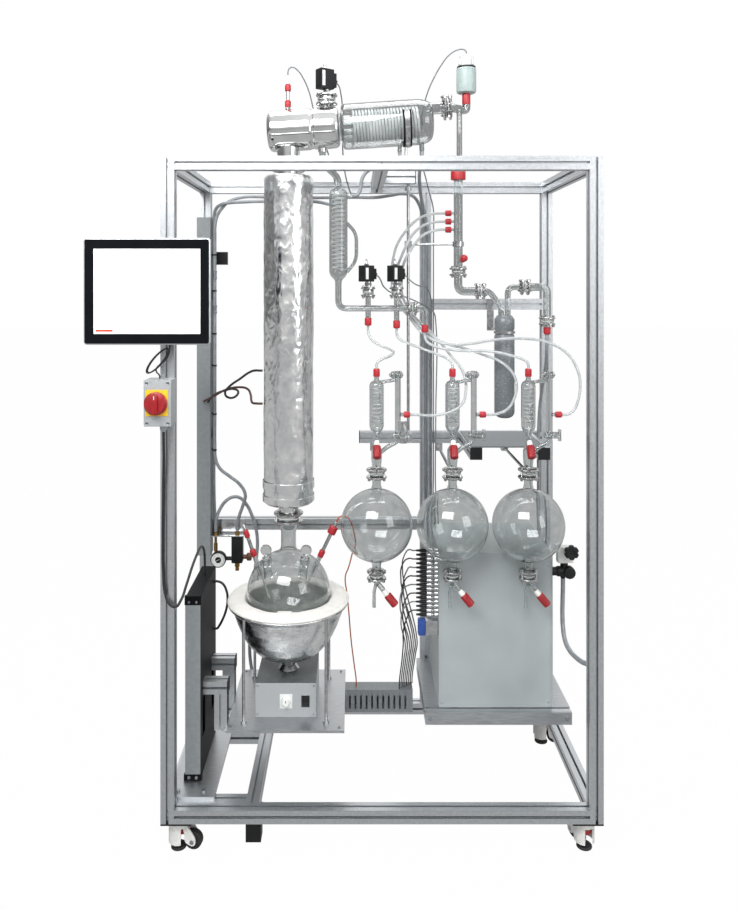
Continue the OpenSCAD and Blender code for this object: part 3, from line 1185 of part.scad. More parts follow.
module receiver_flask(x) {
  wall = glass_wall;
  r = receiver_r;
  low = bottom_joint_z;
  tip = [x - 8, receiver_y, low - 50];
  color(clear_glass) {
    translate([x, receiver_y, 0]) rotate_extrude() difference() {
      union() {
        translate([0, flask_z]) circle(r);
        translate([0, flask_z]) square([14, joint_z - flask_z]);
        translate([0, joint_z - 9]) square([23, 9]);
        translate([0, low]) square([14, flask_z - low]);
        translate([0, low]) square([20, 8]);
      }
      translate([0, flask_z]) circle(r - wall);
      translate([0, low - 1]) square([10, joint_z - low + 2]);
      translate([-2 * r, low - 10]) square([2 * r, joint_z - low + 20]);
    }
    // Outlet valve body under the bottom joint
    difference() {
      union() {
        translate([x, receiver_y, low - 8]) cylinder(r = 20, h = 7.7);
        translate([x, receiver_y, low - 30]) cylinder(r1 = 9, r2 = 14, h = 23);
        stick([x, receiver_y, low - 22], [x, receiver_y, low - 22] + outlet_seat * outlet_dir, 8);
        stick([x, receiver_y, low - 24], tip, 6);
        stick(tip + [0, 0, 4], tip - [0, 0, 54], 5.5);
      }
      translate([x, receiver_y, low - 20]) cylinder(r = 6, h = 21);
      stick(tip - [0, 0, 20], tip - [0, 0, 55], 3.5);
    }
  }
}

module receiver_flasks() {
  for (x = receiver_x) receiver_flask(x);
}

// Ribbed red grip on a white collar
module needle_knob(a, d) {
  along(a, d) {
    color("crimson") union() {
      cylinder(r1 = 8, r2 = 9, h = knob_collar);
      translate([0, 0, knob_collar]) difference() {
        cylinder(r = knob_r, h = knob_l);
        for (k = [0 : 30 : 330]) rotate(k) translate([knob_r + 1.2, 0, 4]) cylinder(r = 2, h = knob_l);
      }
    }
  }
}

module cutoff_knob(i) {
  needle_knob([receiver_x[i], receiver_y, needle_z] + (cutoff_seat + seat_gap) * cutoff_dir, cutoff_dir);
}

module outlet_knob(i) {
  needle_knob([receiver_x[i], receiver_y, bottom_joint_z - 22] + (outlet_seat + seat_gap) * outlet_dir, outlet_dir);
}

module shelf_plates() {
  front_bar = 8;
  color("darkgray") {
    // Dewar shelf on the two arms
    block(arm_x[0] - 15, arm_x[1] + 2, arm_front, hy - p, receiver_rail_z + p / 2, receiver_rail_z + p / 2 + 4);
    // Floor of the cabinet and the bar along its front
    block(shelf_rail_x[0] - p / 2, shelf_rail_x[1] + p / 2, shelf_rail_y, hy - p, shelf_z + p, cabinet_z);
    block(shelf_rail_x[0] - p / 2, shelf_rail_x[1] + p / 2, shelf_rail_y - p / 2 - front_bar,
      shelf_rail_y - p / 2, shelf_z, shelf_z + p);
  }
}

module control_cabinet() {
  x1 = cabinet_x + cabinet_w;
  y1 = cabinet_y + cabinet_d;
  z1 = cabinet_z + cabinet_h;
  wall = cabinet_wall;
  color("lightgray") {
    difference() {
      block(cabinet_x, x1, cabinet_y, y1, cabinet_z, z1);
      block(cabinet_x + wall, x1 - wall, cabinet_y - 1, y1 - wall, cabinet_z + wall, z1 - wall);
    }
    // Front panel in the open face, and the profile along its top edge
    block(cabinet_x + wall, x1 - wall, cabinet_y + 2, cabinet_y + 5, cabinet_z + wall, z1 - 24);
    block(cabinet_x + wall, x1 - wall, cabinet_y, cabinet_y + 20, z1 - 24, z1 - wall);
    // Mounting plate inside
    block(cabinet_x + 40, x1 - 40, y1 - 40, y1 - 37, cabinet_z + wall, z1 - 60);
  }
}

module cable_connectors() {
  z0 = cabinet_z + 292;
  for (k = [0 : plug_rows - 1]) {
    z = z0 + k * plug_pitch;
    color("silver") stick([cabinet_x - 38, plug_y, z], [cabinet_x, plug_y, z], 5.5);
    color([0.06, 0.06, 0.07]) stick([cabinet_x - 72, plug_y, z], [cabinet_x - 38, plug_y, z], 6.2);
  }
  color("silver") block(cabinet_x - 42, cabinet_x, plug_y - 14, plug_y + 16, z0 - 62, z0 - 16);
  color("mediumblue") block(cabinet_x - 66, cabinet_x - 42, plug_y - 11, plug_y + 13, z0 - 66, z0 - 14);
}

// Slotted trunking, open comb on its front wall
module duct(w, d, l) {
  difference() {
    cube([w, d, l]);
    translate([2, 2, -1]) cube([w - 4, d - 4, l + 2]);
  }
}

module cable_ducts() {
  color("gray") {
    translate([-hx + 1, post_y - p / 2 - 60, base_z + 605]) duct(49, 60, top_z - base_z - 740);
    difference() {
      translate([-380, post_y - p / 2 - 60, base_z + p]) rotate([90, 0, 90]) duct(60, 80, 510);
      for (x = [-360 : 20 : 110]) block(x, x + 7, post_y - p / 2 - 61, post_y - p / 2 - 50, base_z + p + 12, base_z + p + 60);
    }
  }
}

module display_bracket() {
  lug = 8;
  color([0.1, 0.1, 0.11]) difference() {
    union() {
      block(-hx, -hx + p, -hy - 8, -hy, display_z - 45, display_z + 45);
      for (x = [-hx, -hx + p - lug]) block(x, x + lug, pivot_y - 12, -hy - 8, display_z - 12, display_z + 12);
    }
    along([-hx - 1, pivot_y, display_z], [1, 0, 0]) cylinder(r = pivot_r + fit_gap, h = p + 2);
  }
}

// Case, glass front with bezel, and the pivot that turns in the bracket's lugs
module touch_display() {
  x0 = display_x - display_w / 2;
  lug = 8;
  back = display_y + display_t;
  color("silver") union() {
    block(x0, x0 + display_w, display_y + bezel_t, display_y + 16, display_z - display_h / 2, display_z + display_h / 2);
    block(x0 + 30, x0 + display_w - 30, display_y + 16, back, display_z - display_h / 2 + 30, display_z + display_h / 2 - 30);
    block(-hx + lug + 1, -hx + p - lug - 1, back, pivot_y + 10, display_z - 11, display_z + 11);
    along([-hx - 4, pivot_y, display_z], [1, 0, 0]) cylinder(r = pivot_r, h = p + 8);
  }
  color("black") block(x0 + 3, x0 + display_w - 3, display_y, display_y + bezel_t,
    display_z - display_h / 2 + 3, display_z + display_h / 2 - 3);
}

module switch_box() {
  plate = 2;
  y0 = -hy - switch_d;
  color("lightgray") difference() {
    block(switch_x - switch_w / 2, switch_x + switch_w / 2, y0, -hy, switch_z - switch_h / 2, switch_z + switch_h / 2);
    block(switch_x - switch_w / 2 + 4, switch_x + switch_w / 2 - 4, y0 + 4, -hy - 4,
      switch_z - switch_h / 2 + 4, switch_z + switch_h / 2 - 4);
    along([switch_x - 3, y0 - 1, switch_z], [0, 1, 0]) cylinder(r = switch_shaft_r + fit_gap, h = 6);
  }
  color("gold") difference() {
    block(switch_x - 33, switch_x + 31, y0 - plate, y0, switch_z - 36, switch_z + 39);
    along([switch_x - 3, y0 - plate - 1, switch_z], [0, 1, 0]) cylinder(r = switch_shaft_r + fit_gap, h = plate + 2);
  }
  color("gray") translate([switch_x + 10, -hy - 36, switch_z - switch_h / 2 - 20]) cylinder(r = 12, h = 20);
}

module switch_knob() {
  y0 = -hy - switch_d - 2 - seat_gap;
  color("firebrick") union() {
    along([switch_x - 3, y0, switch_z], [0, -1, 0]) cylinder(r = 33, h = 9);
    along([switch_x - 3, y0 - 9, switch_z], [0, -1, 0]) cylinder(r1 = 31, r2 = 26, h = 8);
    block(switch_x - 12, switch_x + 6, y0 - 26, y0 - 9, switch_z - 27, switch_z + 27);
    along([switch_x - 3, y0, switch_z], [0, 1, 0]) cylinder(r = switch_shaft_r, h = 14);
  }
}

module pressure_regulator() {
  x = regulator_x;
  y = regulator_y;
  z = regulator_z;
  color("silver") union() {
    block(x - 94, x + 24, post_y - p / 2 - 4, post_y - p / 2, z + 50, mid_rail_z + p / 2);
    block(x - 94, x + 24, y - 22, post_y - p / 2 - 2, z + 50, z + 53);
  }
  color([0.1, 0.1, 0.11]) {
    block(x - 20, x + 20, y - 12, post_y - p / 2 - 12, z - 50, z + 50);
    stick([x - 20, y + 4, z - 36], [x - 40, y + 4, z - 36], 7);
  }
  color("whitesmoke") stick([x - 67, y + 8, z - 36], [x - 67, y - 16, z - 36], 28);
  color("goldenrod") {
    stick([x - 39, y + 4, z - 36], [x - 40, y + 4, z - 36], 6);
    stick([x, y - 1, z + 53], [x, y - 1, z + 65], 8);
    stick([x - 78, y, z - 8], [x - 78, y, z + 50], 6);
    stick([x - 78, y, z + 53], [x - 78, y, z + 63], 7);
    stick([x - 84, y + 23, z + 53], [x - 84, y + 23, z + 63], 7);
    stick([x, y, z - 50], [x, y, z - 78], 9);
  }
}

module regulator_knob() {
  color("saddlebrown") union() {
    stick([regulator_x + 20 + seat_gap, regulator_y + 4, regulator_z - 30],
      [regulator_x + 34, regulator_y + 4, regulator_z - 30], 8);
    stick([regulator_x + 34, regulator_y + 4, regulator_z - 30], [regulator_x + 52, regulator_y + 4, regulator_z - 30], 14);
  }
}

module water_valve() {
  x = cabinet_x + cabinet_w;
  color([0.1, 0.1, 0.11]) {
    // Coupling on the cabinet's side with its hose tail and round cap
    union() {
      stick([x, valve_y, valve_z], [x + 80, valve_y, valve_z], 17);
      stick([x + 56, valve_y, valve_z], [x + 56, valve_y, valve_z - 23], 10);
      stick([x + 60, valve_y, valve_z], [x + 60, valve_y, valve_z + 31], 13);
      stick([x + 74, valve_y - 24, valve_z], [x + 74, valve_y, valve_z], 20);
    }
    // Hose tail on the post
    stick([post_x, -post_y + p / 2, drain_z], [post_x, -post_y + p / 2 + nozzle_l, drain_z], 9);
  }
  color("whitesmoke") block(x + 36, x + 88, valve_y - 16, valve_y + 16, valve_z + 31, valve_z + 84);
}

module star_knob() {
  x = cabinet_x + cabinet_w + 76;
  color([0.07, 0.07, 0.08]) translate([x, valve_y - 16 - seat_gap, valve_z + 73]) rotate([90, 0, 0]) union() {
    cylinder(r = 8, h = 10);
    translate([0, 0, 10]) difference() {
      cylinder(r = 24, h = 15);
      for (a = [0 : 60 : 300]) rotate(a) translate([26, 0, -1]) cylinder(r = 6, h = 17);
    }
  }
}

module clear_hoses() {
  color([0.86, 0.88, 0.88]) for (r = hose_routes) swept(r, hose_d);
}

module cooling_hoses() {
  color("slategray") {
    for (r = cooling_routes) swept(r, cooling_d);
    swept(drain_route, drain_d);
  }
}

module cables() {
  color("dimgray") {
    for (r = lead_routes) swept(r, lead_d);
    for (r = power_routes) swept(r, power_d);
  }
}

frame_posts();
frame_rails();
frame_fittings();
frame_bolts();
for (i = [0 : 3]) {
  caster_fork(i);
  caster_wheel(i);
}
lift_column();
lift_base();
lift_carriage();
mantle_platform();
mantle_box();
mantle_stand();
mantle_bowl();
mantle_rim();
mantle_dial();
mantle_rocker();
boiler_flask();
temperature_probes();
column_tube();
column_packing();
column_jacket();
column_head();
condenser_jacket();
glass_coils();
product_cooler();
vacuum_line();
screw_caps();
joint_clamps();
support_rods();
solenoid_valves();
pressure_transmitter();
receiver_coolers();
receiver_flasks();
for (i = [0 : 2]) {
  cutoff_knob(i);
  outlet_knob(i);
}
shelf_plates();
control_cabinet();
cable_connectors();
cable_ducts();
display_bracket();
touch_display();
switch_box();
switch_knob();
pressure_regulator();
regulator_knob();
water_valve();
star_knob();
clear_hoses();
cooling_hoses();
cables();
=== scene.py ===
"""Batch distillation unit: glass column in a profile frame, heating mantle on a lift, three receivers.

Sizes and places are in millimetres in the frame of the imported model, and MM turns them into metres.
"""
import math

import bmesh
import bpy
from mathutils import Matrix, Vector, noise


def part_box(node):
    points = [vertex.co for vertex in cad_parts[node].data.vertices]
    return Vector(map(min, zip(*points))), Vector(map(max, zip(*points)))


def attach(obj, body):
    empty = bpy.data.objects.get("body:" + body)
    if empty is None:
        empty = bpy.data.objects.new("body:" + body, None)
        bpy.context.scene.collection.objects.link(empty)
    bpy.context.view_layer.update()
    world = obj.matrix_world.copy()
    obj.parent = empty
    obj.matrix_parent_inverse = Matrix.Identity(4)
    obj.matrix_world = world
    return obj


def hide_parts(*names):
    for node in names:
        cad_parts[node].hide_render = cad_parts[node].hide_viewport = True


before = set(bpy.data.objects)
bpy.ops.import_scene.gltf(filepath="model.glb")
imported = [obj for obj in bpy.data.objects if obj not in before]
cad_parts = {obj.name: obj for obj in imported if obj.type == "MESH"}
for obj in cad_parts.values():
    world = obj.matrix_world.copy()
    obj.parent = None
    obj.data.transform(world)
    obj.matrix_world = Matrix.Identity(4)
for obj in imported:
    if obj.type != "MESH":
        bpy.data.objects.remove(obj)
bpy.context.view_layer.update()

# The folds of foil and sheet bend by noise that is drawn anew in each run unless it is seeded
noise.seed_set(7)

MM = 0.001
UP = Vector((0, 0, 1))
DOWN = -UP
RIGHT = Vector((1, 0, 0))
FRONT = Vector((0, -1, 0))


def corners(node):
    """Lowest and highest corner of a CAD node, in millimetres."""
    low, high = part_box(node)
    return low / MM, high / MM


# Driving places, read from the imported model
jacket_low, jacket_high = corners("column_jacket")
COLUMN_X = (jacket_low.x + jacket_high.x) / 2
JACKET_R = (jacket_high.x - jacket_low.x) / 2
posts_low, posts_high = corners("frame_posts")
FRAME_LEFT, FRAME_RIGHT = posts_low.x, posts_high.x
FRAME_FRONT, FRAME_BACK = posts_low.y, posts_high.y
FRAME_TOP = posts_high.z
FRAME_BASE = posts_low.z
cabinet_low, cabinet_high = corners("control_cabinet")
platform_low, platform_high = corners("mantle_platform")
PLATFORM_Z = platform_high.z
PROFILE = 40.0
GLASS_WALL = 3.0

# Column head and condenser lie on one sloping line
HEAD_Z = FRAME_TOP + 135
HEAD_SLOPE = math.radians(3.8)
HEAD_AXIS = Vector((math.cos(HEAD_SLOPE), 0, math.sin(HEAD_SLOPE)))
HEAD_R = 69.0
HEAD_PROBE_X = COLUMN_X - 2
HEAD_VALVE_X = COLUMN_X + 127
SPOUT_X = COLUMN_X + 113


def head_at(u):
    """Point on the line of head and condenser, this far from the column's axis."""
    return Vector((COLUMN_X, 0, HEAD_Z)) + u * HEAD_AXIS


# Colours and nodes
def srgb(code):
    """Linear colour of an sRGB hex value."""
    parts = [int(code[i:i + 2], 16) / 255 for i in (1, 3, 5)]
    linear = [c / 12.92 if c <= 0.04045 else ((c + 0.055) / 1.055) ** 2.4 for c in parts]
    return (*linear, 1.0)


def add(tree, kind, links=None, values=None, **settings):
    """Adds one node: settings are its own fields, values and links go to its inputs."""
    made = tree.nodes.new(kind)
    for field, value in settings.items():
        setattr(made, field, value)
    for socket, value in (values or {}).items():
        made.inputs[socket].default_value = value
    for socket, source in (links or {}).items():
        tree.links.new(source, made.inputs[socket])
    return made


def plain(name, sockets):
    """New material, with what is the same all over set on its shader's own sockets."""
    made = bpy.data.materials.new(name)
    made.use_nodes = True
    tree = made.node_tree
    shader = tree.nodes["Principled BSDF"]
    for socket, value in sockets.items():
        shader.inputs[socket].default_value = value
    return made, tree, shader


def tint(tree, shader, factor, dark, light, span=(0.3, 0.7)):
    """Colours a shader from dark to light as the factor crosses the span."""
    ramp = add(tree, "ShaderNodeValToRGB", {"Fac": factor})
    for stop, place, colour in zip(ramp.color_ramp.elements, span, (dark, light)):
        stop.position = place
        stop.color = srgb(colour)
    tree.links.new(ramp.outputs["Color"], shader.inputs["Base Color"])


def emboss(tree, shader, height, depth, strength=1.0, inward=False):
    """Bumps a shader by a height that stands for this depth in millimetres."""
    values = {"Strength": strength, "Distance": depth * MM}
    bump = add(tree, "ShaderNodeBump", {"Height": height}, values, invert=inward)
    tree.links.new(bump.outputs["Normal"], shader.inputs["Normal"])


def finish(name, size, dark, light, rough, relief=0.0, sockets=None, stretch=(1, 1, 1), detail=4.0):
    """Finish that a cloud of this size tints from dark to light, spreads over rough and raises by relief."""
    low, high = rough
    made, tree, shader = plain(name, {"Roughness": low, **(sockets or {})})
    place = add(tree, "ShaderNodeTexCoord").outputs["Object"]
    scale = [s / (size * MM) for s in stretch]
    grid = add(tree, "ShaderNodeMapping", {"Vector": place}, {"Scale": scale})
    cloud = add(tree, "ShaderNodeTexNoise", {"Vector": grid.outputs[0]}, {"Scale": 1.0, "Detail": detail})
    height = cloud.outputs["Fac"]
    tint(tree, shader, height, dark, light)
    if high > low:
        gloss = add(tree, "ShaderNodeMapRange", {"Value": height},
                    {"From Min": 0.25, "From Max": 0.75, "To Min": low, "To Max": high})
        tree.links.new(gloss.outputs["Result"], shader.inputs["Roughness"])
    if relief:
        emboss(tree, shader, height, relief)
    return made


# Metals
METAL = {"Metallic": 1.0}
# Extruded and matt anodised aluminium: soft silver, faint die lines, no sharp mirror
anodised = finish("anodised_aluminium", 9, "#c0c4c7", "#cfd2d5", (0.3, 0.42), 0.01, sockets=METAL)
# Milled aluminium plate: fine lines across, drawn coarser than they are so that they show
milled_plate = finish("milled_aluminium", 2.2, "#abaeb1", "#c8cacc", (0.28, 0.46), 0.012, sockets=METAL,
                      stretch=(0.06, 1, 1))
# Rolled plate under the cold trap, rougher than the lower shelf and tinted darker: the darker tint is painted
# shade
plate_painted_shade = finish("rolled_plate_painted_shade", 6, "#74797c", "#8a8f92", (0.44, 0.56), 0.01, sockets=METAL)
# Rolled stainless steel: bright, with slow clouds in its gloss
stainless = finish("stainless_steel", 14, "#adaeb0", "#c9cacb", (0.12, 0.28), sockets=METAL)
# Cast and tumbled stainless clamp parts: bright edges on a slightly uneven skin
cast_steel = finish("cast_stainless_steel", 5, "#9a9a9b", "#cfcfce", (0.14, 0.34), 0.12, sockets=METAL)
# Zinc plated screws: greyer and a little blue
zinc = finish("zinc_plated_steel", 4, "#8d9297", "#b2b6bb", (0.24, 0.4), 0.02, sockets=METAL)
# Crumpled household foil: mirror facets with rolled, duller back sides here and there
foil = finish("crumpled_aluminium_foil", 34, "#dadcde", "#f4f4f3", (0.12, 0.3), 0.14, sockets=METAL)
# Spun aluminium sheet with heat-marked, wrinkled skin
spun = finish("spun_aluminium", 30, "#d2d4d5", "#f0f0ef", (0.18, 0.36), 0.22, sockets=METAL,
              stretch=(1, 1, 1.8))
# Silver mirror behind glass
silvered = finish("silvered_glass", 70, "#cacccc", "#e2e2e1", (0.04, 0.12), 0.15,
                  sockets={"Metallic": 1.0, "Coat Weight": 1.0, "Coat Roughness": 0.02})
# Brass fittings
brass = finish("turned_brass", 5, "#8a6a34", "#b08d4c", (0.2, 0.38), 0.02, sockets=METAL)

# Glass
# Drawn borosilicate tube and blown bulbs: clear with a faint ripple from the flame
clear_glass = finish("borosilicate_glass", 30, "#edf1f1", "#fafbfb", (0.0, 0.03), 0.3,
                     sockets={"Transmission Weight": 1.0, "IOR": 1.47}, detail=2.0)
# Coil tube inside the jackets: the same glass, near white and mostly opaque so that it reads bright, painted
# light for the light and highlights that the jackets keep off it
coil_glass_painted_light = finish("coil_glass_painted_light", 6, "#f4f7f8", "#ffffff", (0.06, 0.2), 0.15,
                      sockets={"Transmission Weight": 0.12, "IOR": 1.5})
# Cold trap: dull grey glass, etched by the cold bath
frosted_glass = finish("frosted_glass", 5, "#7f868a", "#979da1", (0.16, 0.3), 0.08,
                       sockets={"Transmission Weight": 0.35, "IOR": 1.47})
# Flush cover glass of the screen
cover_glass = finish("black_cover_glass", 90, "#0b0d10", "#111316", (0.05, 0.12),
                     sockets={"Specular IOR Level": 0.12})

# Plastics, paints, rubber and cloth
# Red ribbed PBT of laboratory screw caps: satin, slightly mottled
red_cap = finish("red_pbt", 7, "#a71b24", "#bc272f", (0.34, 0.5), 0.03, sockets={"IOR": 1.55})
# Deeper red of the switch and valve grips
red_grip = finish("red_abs", 10, "#8c111a", "#a51820", (0.28, 0.44), 0.02, sockets={"IOR": 1.54})
# White PTFE collars and seals: waxy
white_ptfe = finish("white_ptfe", 8, "#e9e9e4", "#f6f6f2", (0.34, 0.48),
                    sockets={"Subsurface Weight": 0.1, "IOR": 1.38})
# Moulded black polyamide: fine spark-eroded grain, drawn coarser than it is
black_nylon = finish("black_polyamide", 1.6, "#101113", "#1a1b1d", (0.42, 0.58), 0.05,
                     sockets={"Specular IOR Level": 0.35})
# Powder-coated black sheet: leathery orange peel
black_coat = finish("black_powder_coat", 3.2, "#090a0b", "#101113", (0.42, 0.58), 0.06,
                    sockets={"Specular IOR Level": 0.12})
# Nylon caster housing, a cool off-white
ivory_nylon = finish("ivory_nylon", 12, "#dcdcd8", "#ebebe7", (0.38, 0.54), 0.03)
# Rubber of tyres and feet: dull black, dusty
tyre_rubber = finish("black_rubber", 5, "#1a1a1b", "#2a2a2a", (0.6, 0.8), 0.06)
# Glass-cloth lining of the heated cup: coarse and matt
cup_lining = finish("cup_glass_cloth", 5, "#dcddd9", "#f6f6f2", (0.78, 0.92), 0.5,
                    sockets={"Sheen Weight": 0.2})
# Black rubber under the condenser's strap
strap_rubber = finish("strap_rubber", 3, "#0c0c0d", "#161617", (0.62, 0.8), 0.05,
                      sockets={"Specular IOR Level": 0.2})
# Light grey polyester paint on sheet steel: slight orange peel
grey_enamel = finish("light_grey_enamel", 4, "#a4a8aa", "#aeb2b4", (0.34, 0.46), 0.03)
# The top of the control box under the bowl: the same paint, darker as painted shade under the bowl
box_top_painted_shade = finish("heat_darkened_enamel", 26, "#4d5153", "#63686a", (0.3, 0.48), 0.03)
# Cabinet sheet, a cooler grey with broad shade
cabinet_paint = finish("cabinet_grey_paint", 160, "#9da5a7", "#abb2b3", (0.36, 0.48))
# Grey PVC of the trunking and the lift's cover, and the paler box of the isolator
grey_pvc = finish("grey_pvc", 14, "#84898c", "#8f9497", (0.4, 0.54), 0.03)
pale_pvc = finish("pale_grey_abs", 10, "#9a9ea0", "#a6aaac", (0.38, 0.52), 0.03)
# Stove enamel of the pressure gauge head
green_grey = finish("grey_green_enamel", 18, "#a3b4b2", "#b2c1bf", (0.3, 0.42), 0.02)
# Yellow plate of the isolator
yellow_plate = finish("yellow_polycarbonate", 12, "#e2b21f", "#efc233", (0.34, 0.46))
# Brown phenolic knob
brown_phenolic = finish("brown_phenolic", 6, "#4c2c1c", "#6b4028", (0.28, 0.42), 0.02)
# Blue multipole plug, and the blue-grey film on the side of the coil boxes
blue_plastic = finish("blue_polyamide", 6, "#1f3f86", "#2d50a0", (0.38, 0.5), 0.02)
slate_plate = finish("slate_blue_film", 20, "#45606d", "#587481", (0.34, 0.46))
# Lit white screen, even and slightly cool, and what it shows
screen_white = finish("white_screen", 120, "#f3f5f6", "#fafbfb", (0.16, 0.16),
                      sockets={"Emission Strength": 0.35, "Emission Color": srgb("#ffffff")})
screen_red = finish("red_screen_bar", 40, "#d9402c", "#e24e38", (0.2, 0.2))
screen_grey = finish("pale_screen_lines", 40, "#d5dcdf", "#e0e6e8", (0.2, 0.2))

# Hoses and cables
# Silicone tube, milky clear
clear_silicone = finish("clear_silicone", 18, "#dde2e4", "#eff2f2", (0.16, 0.3), 0.05,
                        sockets={"Transmission Weight": 0.55, "IOR": 1.41})
# PVC cooling hose, grey and half clear
grey_hose = finish("grey_pvc_hose", 16, "#8b9095", "#a2a7ab", (0.28, 0.42), 0.05,
                   sockets={"Transmission Weight": 0.15})
# PVC cable sheaths: satin, with the slight waviness of the strands below
black_sheath = finish("black_cable_sheath", 9, "#17181a", "#232426", (0.38, 0.54), 0.06)
grey_sheath = finish("grey_cable_sheath", 9, "#6f7478", "#80858a", (0.38, 0.54), 0.06)
brown_sheath = finish("brown_heater_sheath", 7, "#3d2a26", "#553a34", (0.42, 0.6), 0.08)
orange_sheath = finish("orange_probe_sheath", 9, "#b54a10", "#c9591c", (0.38, 0.52), 0.05)


def woven_glass_cloth():
    """Plain-woven glass fibre: warm white, threads over and under, drawn at twice their real spacing."""
    thread = 3.0
    values = {"Roughness": 0.85, "Sheen Weight": 0.3, "Sheen Roughness": 0.5}
    made, tree, shader = plain("woven_glass_cloth", values)
    place = add(tree, "ShaderNodeTexCoord").outputs["Object"]
    bands = []
    for axis in ("X", "Y"):
        wave = add(tree, "ShaderNodeTexWave", {"Vector": place},
                   {"Scale": 1 / (thread * MM * 3.2), "Distortion": 1.2, "Detail": 1.0, "Detail Scale": 2.0},
                   bands_direction=axis)
        bands.append(wave.outputs["Fac"])
    weave = add(tree, "ShaderNodeMath", {0: bands[0], 1: bands[1]}, operation="MULTIPLY").outputs[0]
    cloud = add(tree, "ShaderNodeTexNoise", {"Vector": place}, {"Scale": 1 / (26 * MM), "Detail": 3.0})
    both = add(tree, "ShaderNodeMath", {0: weave, 1: cloud.outputs["Fac"]}, operation="ADD").outputs[0]
    tint(tree, shader, both, "#dfddd5", "#f6f5f1", (0.2, 0.9))
    emboss(tree, shader, both, 0.6, 0.9)
    return made


def knitted_mesh():
    """Knitted steel wire packing: fine bright loops over gaps painted dark as shade, drawn three times as
    coarse.
    """
    loop = 5.0
    made, tree, shader = plain("knitted_steel_wire", {"Roughness": 0.4, **METAL})
    place = add(tree, "ShaderNodeTexCoord").outputs["Object"]
    cells = add(tree, "ShaderNodeTexVoronoi", {"Vector": place}, {"Scale": 1 / (loop * MM)},
                feature="DISTANCE_TO_EDGE")
    gap = cells.outputs["Distance"]
    # Painted shade: the gaps between the loops are tinted near black
    tint(tree, shader, gap, "#b5b7b9", "#2c2d2f", (0.0, 0.25))
    emboss(tree, shader, gap, 1.0, inward=True)
    return made


glass_cloth = woven_glass_cloth()
wire_packing = knitted_mesh()


# Outlines and routes
def arc(centre, radius, start, end, steps=16):
    """Points (r, h) on a circle, from angle start to end in degrees, 0 outwards and 90 up."""
    points = []
    for i in range(steps + 1):
        a = math.radians(start + (end - start) * i / steps)
        points.append((centre[0] + radius * math.cos(a), centre[1] + radius * math.sin(a)))
    return points


def rounded(points, bend, steps=6):
    """The same line with every inner corner eased into a bend that starts this far from the corner."""
    spots = [Vector(p) for p in points]
    line = [spots[0]]
    for before, corner, after in zip(spots, spots[1:], spots[2:]):
        near = min(bend, (before - corner).length / 2)
        far = min(bend, (after - corner).length / 2)
        start = corner + near * (before - corner).normalized()
        end = corner + far * (after - corner).normalized()
        for i in range(steps + 1):
            t = i / steps
            line.append((1 - t) ** 2 * start + 2 * t * (1 - t) * corner + t ** 2 * end)
    return line + [spots[-1]]


def shell(path, wall):
    """Closed outline of a wall: the path up the outside, and back down the inside."""
    spots = [Vector(p) for p in path]
    inside = []
    for i, spot in enumerate(spots):
        along = (spots[min(i + 1, len(spots) - 1)] - spots[max(i - 1, 0)]).normalized()
        inside.append(Vector((max(spot.x - wall * along.y, 0.0), spot.y + wall * along.x)))
    return spots + inside[::-1]


def facing(direction):
    """Turns +Z to a direction; +Y stays up where the direction is level."""
    z = Vector(direction).normalized()
    x = UP.cross(z).normalized() if abs(z.z) < 0.95 else (RIGHT - RIGHT.dot(z) * z).normalized()
    return Matrix((x, z.cross(x), z)).transposed()


